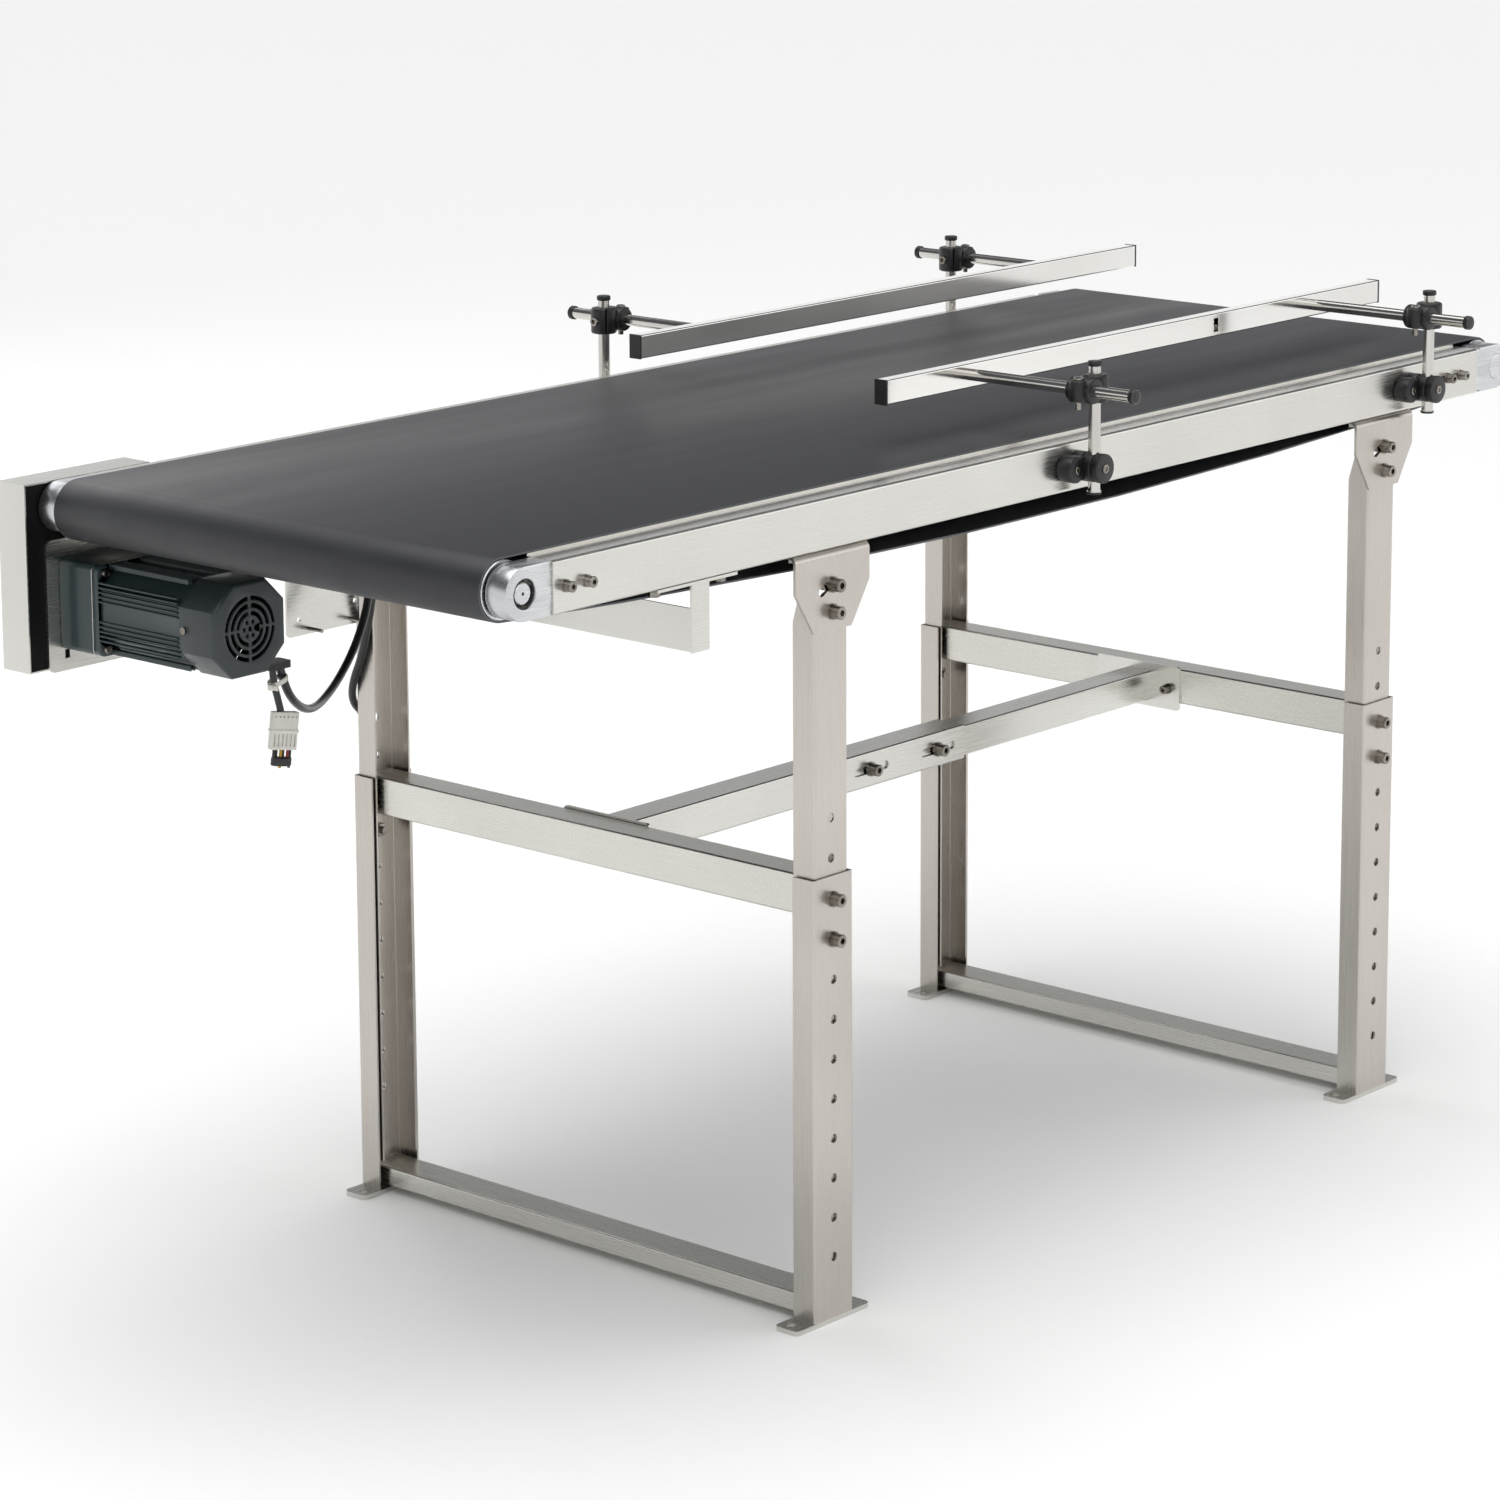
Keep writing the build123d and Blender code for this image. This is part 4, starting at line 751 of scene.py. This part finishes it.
    def guard_screw(self, side: Side) -> None:
        """Models the screw that shows in the guard's short slot."""
        low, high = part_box(f"{side.word}_guard_rail")
        sign = side.value
        face = high.y if sign > 0 else low.y
        base = ((low.x + high.x) / 2 - sign * self.slot_from_middle, face - sign * self.slot_screw_sink,
                self.guard_z - self.slot_drop)
        head = socket_head(f"{side.word}_guard_slot_screw", Axis.Y, base, sign, *self.slot_screw)
        set_in_place(head, f"{side.word}_guard", "steel_fasteners")

    def post_clamps(self) -> None:
        """Builds the clamps on the side rails, as nylon and screws."""
        bodies, screws = [], []
        for side in Side:
            for x in self.post_x:
                bodies += self.knuckled_pad(side, x)
                screws += self.knuckle_screws(side, x)
        set_in_place(joined("post_clamp_knuckles", bodies), "conveyor", "black_nylon", "post_clamps")
        set_in_place(joined("post_clamp_screws", screws), "conveyor", "steel_fasteners")

    def knuckled_pad(self, side: Side, x: float) -> list[bpy.types.Object]:
        """Models one rail clamp's nylon: a round pad, a neck, and a knuckle split into discs on a core.

        Args:
            side: the conveyor's side.
            x: the post's place along the conveyor.

        Returns:
            The dressed pieces.
        """
        sign, z = side.value, self.axis_z
        face = sign * self.rail_face
        pad_x, neck_y = x + sign * self.pad_offset, face + sign * self.neck_depth
        pad = turned_rod("pad", Axis.Y, (pad_x, 0, z), self.pad, face, face + sign * self.pad_depth)
        rounded(pad, self.pad_edge)
        neck = slab("neck", (min(x, pad_x), min(face, neck_y), z - self.neck_half),
                    (max(x, pad_x), max(face, neck_y), z + self.neck_half))
        parts = [pad, rounded(neck, self.web_edge)]
        for start, end in self.knuckle_discs:
            disc = turned_rod("disc", Axis.Y, (x, 0, z), self.knuckle, face + sign * start,
                              face + sign * end, 64)
            parts.append(rounded(disc, self.knuckle_edge))
        parts.append(turned_rod("core", Axis.Y, (x, 0, z), self.knuckle - self.core_step, face,
                                face + sign * self.core_depth))
        for part in parts:
            dress(part, NYLON)
        return parts

    def knuckle_screws(self, side: Side, x: float) -> list[bpy.types.Object]:
        """Models one rail clamp's two screw heads.

        Args:
            side: the conveyor's side.
            x: the post's place along the conveyor.

        Returns:
            The head on the knuckle and the head on the pad.
        """
        sign, z = side.value, self.axis_z
        face = sign * self.rail_face
        front = face + sign * (self.knuckle_depth - self.screw_sink)
        pad_front = face + sign * (self.pad_depth - self.screw_sink)
        pad_x = x + sign * self.pad_offset
        return [socket_head("knuckle_screw", Axis.Y, (x, front, z), sign, *self.knuckle_screw),
                socket_head("pad_screw", Axis.Y, (pad_x, pad_front, z), sign, *self.pad_screw)]


@dataclass
class Gearmotor:
    """The square gearhead, finned motor and fan cover under the drive end."""

    x: float = -838 * MM
    z: float = 698 * MM
    seam_y: float = 264 * MM
    bead_half: float = 45.15 * MM
    bead_thickness: float = 1.0 * MM
    bead_corner: float = 7 * MM
    castings: tuple = (("gearhead", ENAMEL, 0.7 * MM), ("motor_body", ENAMEL, 0.35 * MM),
                       ("fan_cover", FAN_COVER_ENAMEL, 1.1 * MM))

    def build(self) -> None:
        """Softens the motor's castings and dresses its small parts."""
        for node, finish, width in self.castings:
            casting = softened(node, f"{node}_casting", width)
            dress(casting, finish)
            set_in_place(casting, "conveyor", "motor_enamel", node)
        dress(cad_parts["motor_screws"], SCREW_STEEL)
        dress(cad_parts["cooling_fan"], NYLON)
        self.seam()

    def seam(self) -> None:
        """Models the bright bead of the joint between the gearhead and the motor."""
        half = Vector((self.bead_half, self.bead_thickness / 2, self.bead_half))
        centre = Vector((self.x, self.seam_y, self.z))
        bead = slab("gearhead_joint_bead", centre - half, centre + half)
        only(bead)
        bpy.ops.object.mode_set(mode="EDIT")
        mesh = bmesh.from_edit_mesh(bead.data)
        for edge in mesh.edges:
            a, b = edge.verts
            edge.select_set(abs(a.co.y - b.co.y) > self.bead_thickness / 2)
        bmesh.update_edit_mesh(bead.data)
        bpy.ops.mesh.bevel(offset=self.bead_corner, segments=8)
        bpy.ops.object.mode_set(mode="OBJECT")
        dress(bead, RAIL_STEEL)
        set_in_place(bead, "conveyor", "brushed_stainless")


@dataclass
class InlinePlug:
    """The round in-line connector at the supply cable's lower end, with its ribbed strain relief."""

    body: float = 8.4 * MM
    body_height: float = 26 * MM
    body_edge: float = 1.2 * MM
    ribs: int = 5
    first_rib: float = 27 * MM
    rib_pitch: float = 2.6 * MM
    rib_height: float = 1.7 * MM
    rib: float = 7.2 * MM
    rib_taper: float = 0.4 * MM
    rib_edge: float = 0.4 * MM
    neck: float = 4.9 * MM
    neck_from: float = 25 * MM
    mouth: float = 6.2 * MM
    mouth_ends: tuple[float, float] = (-2 * MM, 6 * MM)

    def build(self) -> bpy.types.Object:
        """Models the plug in its node's place."""
        low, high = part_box("supply_plug")
        middle = (low + high) / 2
        body = turned_rod("plug_body", Axis.Z, middle, self.body, low.z, low.z + self.body_height, 64)
        parts = [rounded(body, self.body_edge)]
        for rib in range(self.ribs):
            z = low.z + self.first_rib + self.rib_pitch * rib
            ring = turned_rod("plug_rib", Axis.Z, middle, self.rib - self.rib_taper * rib, z,
                              z + self.rib_height)
            parts.append(rounded(ring, self.rib_edge, 2))
        parts.append(turned_rod("plug_neck", Axis.Z, middle, self.neck, low.z + self.neck_from, high.z))
        for part in parts:
            dress(part, NYLON)
        bottom, top = self.mouth_ends
        cut(body, [turned_rod("mouth", Axis.Z, middle, self.mouth, low.z + bottom, low.z + top)])
        return set_in_place(joined("supply_plug_moulding", parts), "conveyor", "black_nylon", "supply_plug")


@dataclass
class SixWayConnector:
    """The white connector on the motor's lead, modelled about its own middle and then put in place.

    The keys and the windows are shallow cuts in its front, given by half their width and their heights.
    """

    half: tuple[float, float, float] = (13.5 * MM, 4.5 * MM, 18.5 * MM)
    edge: float = 0.8 * MM
    lip_past: tuple[float, float] = (0.6 * MM, 0.7 * MM)
    lip_half: float = 1.2 * MM
    lip_edge: float = 0.4 * MM
    pitch: float = 4.2 * MM
    cut_depth: float = 1.4 * MM
    key: tuple[float, float, float] = (0.8 * MM, -15 * MM, -3 * MM)
    window: tuple[float, float, float] = (0.9 * MM, 13 * MM, 15 * MM)
    leads: tuple = (SHEATH, SHEATH, YELLOW_LEAD, SHEATH, RED_LEAD, SHEATH)
    lead: float = 1.5 * MM
    lead_gather: float = 0.85
    lead_rows: float = 2.6 * MM
    lead_in: float = 1 * MM
    lead_drop: float = 12 * MM
    lead_step: float = 3 * MM
    lead_edge: float = 0.5 * MM
    tape: float = 8.5 * MM
    tape_ends: tuple[float, float] = (7 * MM, 16 * MM)
    tape_scale: tuple[float, float, float] = (1.25, 0.62, 1.0)
    tape_edge: float = 1.6 * MM
    place: tuple[float, float, float] = (-780 * MM, 110 * MM, 584.9 * MM)
    turn: float = -20.0
    lean: float = 8.0

    def build(self) -> bpy.types.Object:
        """Models the connector, turned and leaning as it hangs."""
        parts = self.housing() + self.short_leads() + [self.tape_sleeve()]
        whole = joined("six_way_connector", parts)
        turn = Matrix.Rotation(math.radians(self.turn), 4, "Z")
        lean = Matrix.Rotation(math.radians(self.lean), 4, "Y")
        whole.data.transform(Matrix.Translation(self.place) @ lean @ turn)
        return set_in_place(whole, "conveyor", "white_nylon", "lead_connector")

    def way_x(self, way: int) -> float:
        """Gives the place of one of the six ways across the housing."""
        return self.pitch * (way - (len(self.leads) - 1) / 2)

    def housing(self) -> list[bpy.types.Object]:
        """Models the housing with its key slots and windows, and the lip round it."""
        wide, deep, tall = self.half
        housing = slab("housing", (-wide, -deep, -tall), (wide, deep, tall))
        rounded(housing, self.edge, 2)
        past_x, past_y = self.lip_past
        lip = slab("lip", (-wide - past_x, -deep - past_y, -self.lip_half),
                   (wide + past_x, deep + past_y, self.lip_half))
        rounded(lip, self.lip_edge, 2)
        tools = []
        for way in range(len(self.leads)):
            x = self.way_x(way)
            for name, (half, bottom, top) in (("key", self.key), ("window", self.window)):
                tools.append(slab(name, (x - half, -2 * deep, bottom),
                                  (x + half, self.cut_depth - deep, top)))
        cut(housing, tools)
        for part in (housing, lip):
            dress(part, WHITE_NYLON)
        return [housing, lip]

    def short_leads(self) -> list[bpy.types.Object]:
        """Models the cut leads below the housing, in two rows and three lengths."""
        bottom = -self.half[2]
        leads = []
        for way, finish in enumerate(self.leads):
            drop = self.lead_drop + self.lead_step * (way % 3)
            row = (way % 2 - 0.5) * self.lead_rows
            lead = turned_rod("lead", Axis.Z, (self.way_x(way) * self.lead_gather, row, 0), self.lead,
                              bottom + self.lead_in, bottom - drop, 20)
            rounded(lead, self.lead_edge, 2)
            dress(lead, finish)
            leads.append(lead)
        return leads

    def tape_sleeve(self) -> bpy.types.Object:
        """Models the flat turn of tape round the leads."""
        bottom = -self.half[2]
        sleeve = turned_rod("lead_tape", Axis.Z, (0, 0, 0), self.tape, bottom - self.tape_ends[0],
                            bottom - self.tape_ends[1], 40)
        only(sleeve)
        sleeve.scale = self.tape_scale
        bpy.ops.object.transform_apply(location=False, rotation=False, scale=True)
        rounded(sleeve, self.tape_edge)
        dress(sleeve, SHEATH)
        return sleeve


@dataclass
class CableTie:
    """The white tie round both cables, with its head and cut tail. The head and tail are in millimetres."""

    centre_mm: tuple[float, float, float] = (-779.5, 117.0, 633.0)
    ring: float = 11.4 * MM
    thickness: float = 1.0 * MM
    stretch: tuple[float, float, float] = (1.0, 0.62, 2.6)
    lean: float = -16.0
    smooth: float = 40.0
    head_mm: tuple[float, float, float] = (-11.5, -4.0, -4.0)
    head_half_mm: tuple[float, float, float] = (3.4, 3.0, 3.0)
    head_edge: float = 0.8 * MM
    tail_low_mm: tuple[float, float, float] = (-1.2, -9.0, -2.4)
    tail_high_mm: tuple[float, float, float] = (0.2, -2.0, 2.4)
    tail_edge: float = 0.4 * MM

    def build(self) -> None:
        """Models the band, leaning with the cables, then its head and tail."""
        centre = Vector(self.centre_mm) * MM
        bpy.ops.object.select_all(action="DESELECT")
        bpy.ops.mesh.primitive_torus_add(location=centre, major_radius=self.ring, minor_radius=self.thickness,
                                         major_segments=64, minor_segments=12)
        bpy.context.view_layer.objects.active.scale = self.stretch
        band = settle("tie_band")
        lean = Matrix.Rotation(math.radians(self.lean), 4, "Y")
        band.data.transform(Matrix.Translation(centre) @ lean @ Matrix.Translation(-centre))
        at = centre + Vector(self.head_mm) * MM
        half = Vector(self.head_half_mm) * MM
        head = rounded(slab("tie_head", at - half, at + half), self.head_edge)
        tail = slab("tie_tail", at + Vector(self.tail_low_mm) * MM, at + Vector(self.tail_high_mm) * MM)
        rounded(tail, self.tail_edge, 2)
        for part in (band, head, tail):
            dress(part, WHITE_NYLON)
        only(band)
        bpy.ops.object.shade_smooth_by_angle(angle=math.radians(self.smooth))
        set_in_place(joined("cable_tie", [band, head, tail]), "conveyor", "white_nylon")


@dataclass
class Cables:
    """The motor's lead with its connector, the supply cable, their tie and gland."""

    radius: float = 4.2 * MM
    lead_radius: float = 3.5 * MM
    lead_mm: tuple = ((-787, 116, 646), (-787, 115, 632), (-784, 113, 618), (-782, 111, 604))
    supply_mm: tuple = (
        (-774, 120, 646), (-770, 117, 624), (-748, 127, 603), (-712, 149, 586), (-666, 180, 578),
        (-610, 212, 587), (-563, 234, 612), (-535, 244, 648), (-526, 248, 692), (-521, 252, 743),
        (-480, 286, 739), (-482, 281, 692), (-494, 279, 652), (-494, 287, 615), (-494, 298, 578),
        (-495, 311, 550), (-487, 321, 526), (-466, 324, 508), (-460, 325, 482))

    def build(self) -> None:
        """Builds both cords and what is on them."""
        plug = InlinePlug().build()
        connector = SixWayConnector().build()
        supply = self.cord("supply_cable_cord", self.supply_mm, self.radius, "supply_cable")
        lead = self.cord("motor_lead_cord", self.lead_mm, self.lead_radius, "motor_lead")
        dress(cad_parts["cable_fittings"], NYLON)
        CableTie().build()

    @staticmethod
    def metres(point: Iterable[float]) -> tuple[float, ...]:
        """Turns a point in millimetres into metres."""
        return tuple(c * MM for c in point)

    def cord(self, name: str, points_mm: tuple, radius: float, node: str) -> bpy.types.Object:
        """Makes a cord as one smooth spline.

        Args:
            name: the cord's name.
            points_mm: its control points.
            radius: half its diameter.
            node: the CAD node that it stands for.

        Returns:
            The cord, riding on the conveyor.
        """
        curve = bpy.data.curves.new(name, "CURVE")
        curve.dimensions = "3D"
        curve.bevel_depth = radius
        curve.bevel_resolution = 8
        curve.resolution_u = 16
        curve.use_fill_caps = True
        spline = curve.splines.new("NURBS")
        spline.points.add(len(points_mm) - 1)
        for point, place in zip(spline.points, points_mm):
            point.co = (*self.metres(place), 1.0)
        spline.order_u = 3
        spline.use_endpoint_u = True
        piece = bpy.data.objects.new(name, curve)
        bpy.context.scene.collection.objects.link(piece)
        dress(piece, SHEATH)
        return set_in_place(piece, "conveyor", "cable_sheath", node)


@dataclass
class Studio:
    """A pale floor, soft lights and the camera.

    Each light has a name, a place, a size and a power. The band is the room's darker part, given by
    the heights of direction between which it comes up and goes down.
    """

    azimuth: float = 41.4011
    pitch: float = 10.6007
    roll: float = -0.2827
    place: tuple = (-3.8275, -3.1766, 1.6916)
    lens_mm: float = 114.4896
    sensor_mm: float = 36.0
    shift: float = -0.2
    lights: tuple = (
        ("key", (-3.2, -3.4, 4.2), 3.4, 55.0), ("fill", (3.6, -3.6, 2.6), 3.0, 25.0),
        ("back", (0.6, 4.4, 2.8), 3.0, 40.0))
    aim: tuple[float, float, float] = (0, 0, 0.6)
    overhead: float = 1.6
    overhead_angle: float = 70.0
    floor_half: float = 14.0
    floor_depth: float = 0.012
    room: str = "FFFFFF"
    band: str = "5C5D60"
    band_up: tuple[float, float] = (0.12, 0.38)
    band_down: tuple[float, float] = (0.74, 0.92)
    room_strength: float = 1.04
    far_clip: float = 60.0

    def build(self) -> None:
        """Builds the floor, the lights, the surroundings and the camera."""
        half = self.floor_half
        floor = slab("studio_floor", (-half, -half, -self.floor_depth), (half, half, 0.0))
        dress(floor, FLOOR_PAPER)
        for name, place, size, power in self.lights:
            self.softbox(name, Vector(place), size, power)
        self.daylight()
        self.surroundings()
        self.camera()
        LOG.info("studio ready")

    def softbox(self, name: str, place: Vector, size: float, power: float) -> None:
        """Adds one square area light that faces the conveyor.

        Args:
            name: the light's name.
            place: where it stands.
            size: its side.
            power: its power in watts.
        """
        data = bpy.data.lights.new(name, "AREA")
        data.size = size
        data.energy = power
        light = bpy.data.objects.new(name, data)
        bpy.context.scene.collection.objects.link(light)
        light.location = place
        light.rotation_euler = (Vector(self.aim) - place).to_track_quat("-Z", "Y").to_euler()

    def daylight(self) -> None:
        """Adds an even, very soft light from overhead, which keeps the far floor as white as the near."""
        data = bpy.data.lights.new("overhead", "SUN")
        data.energy = self.overhead
        data.angle = math.radians(self.overhead_angle)
        light = bpy.data.objects.new("overhead", data)
        bpy.context.scene.collection.objects.link(light)
        light.location = (0.0, 0.0, 5.0)

    def surroundings(self) -> None:
        """Lights the room: white low down and overhead, with a grey band between that darkens the bends."""
        world = bpy.data.worlds.new("studio_room")
        world.use_nodes = True
        tree = world.node_tree
        tree.nodes.clear()
        place = add_node(tree, "ShaderNodeTexCoord")
        height = add_node(tree, "ShaderNodeSeparateXYZ", {"Vector": place.outputs["Generated"]}).outputs["Z"]
        rise = add_node(tree, "ShaderNodeMapRange", {
            "Value": height, "From Min": self.band_up[0], "From Max": self.band_up[1]},
            interpolation_type="SMOOTHSTEP")
        fall = add_node(tree, "ShaderNodeMapRange", {
            "Value": height, "From Min": self.band_down[0], "From Max": self.band_down[1],
            "To Min": 1.0, "To Max": 0.0}, interpolation_type="SMOOTHSTEP")
        band = add_node(tree, "ShaderNodeMath", {0: rise.outputs[0], 1: fall.outputs[0]},
                        operation="MULTIPLY")
        tone = add_node(tree, "ShaderNodeMix", {
            "Factor": band.outputs[0], "A": linear(self.room), "B": linear(self.band)}, data_type="RGBA")
        glow = add_node(tree, "ShaderNodeBackground", {
            "Color": tone.outputs["Result"], "Strength": self.room_strength})
        add_node(tree, "ShaderNodeOutputWorld", {"Surface": glow.outputs[0]})
        bpy.context.scene.world = world
        # plain display contrast, so that white paper stays white and black parts stay black
        bpy.context.scene.view_settings.view_transform = "Standard"

    def camera(self) -> None:
        """Places the camera."""
        azimuth, pitch, roll = (math.radians(a) for a in (self.azimuth, self.pitch, self.roll))
        level = math.cos(pitch)
        ahead = Vector((level * math.cos(azimuth), level * math.sin(azimuth), -math.sin(pitch)))
        right = Vector((math.sin(azimuth), -math.cos(azimuth), 0.0))
        up = right.cross(ahead)
        right, up = (math.cos(roll) * right + math.sin(roll) * up,
                     -math.sin(roll) * right + math.cos(roll) * up)
        data = bpy.data.cameras.new("camera")
        data.sensor_width = self.sensor_mm
        data.lens = self.lens_mm
        data.shift_y = self.shift
        data.clip_end = self.far_clip
        camera = bpy.data.objects.new("camera", data)
        bpy.context.scene.collection.objects.link(camera)
        turn = Matrix((right, up, -ahead)).transposed().to_4x4()
        camera.matrix_world = Matrix.Translation(self.place) @ turn
        bpy.context.scene.camera = camera


def main() -> None:
    """Builds the scene in order."""
    logging.basicConfig(level=logging.INFO, format="%(name)s: %(message)s")
    Studio().build()
    Cables().build()
    for group in (Stand(), Bed(), Belt(), GuardRails(), Gearmotor()):
        group.build()


if __name__ == "__main__":
    main()
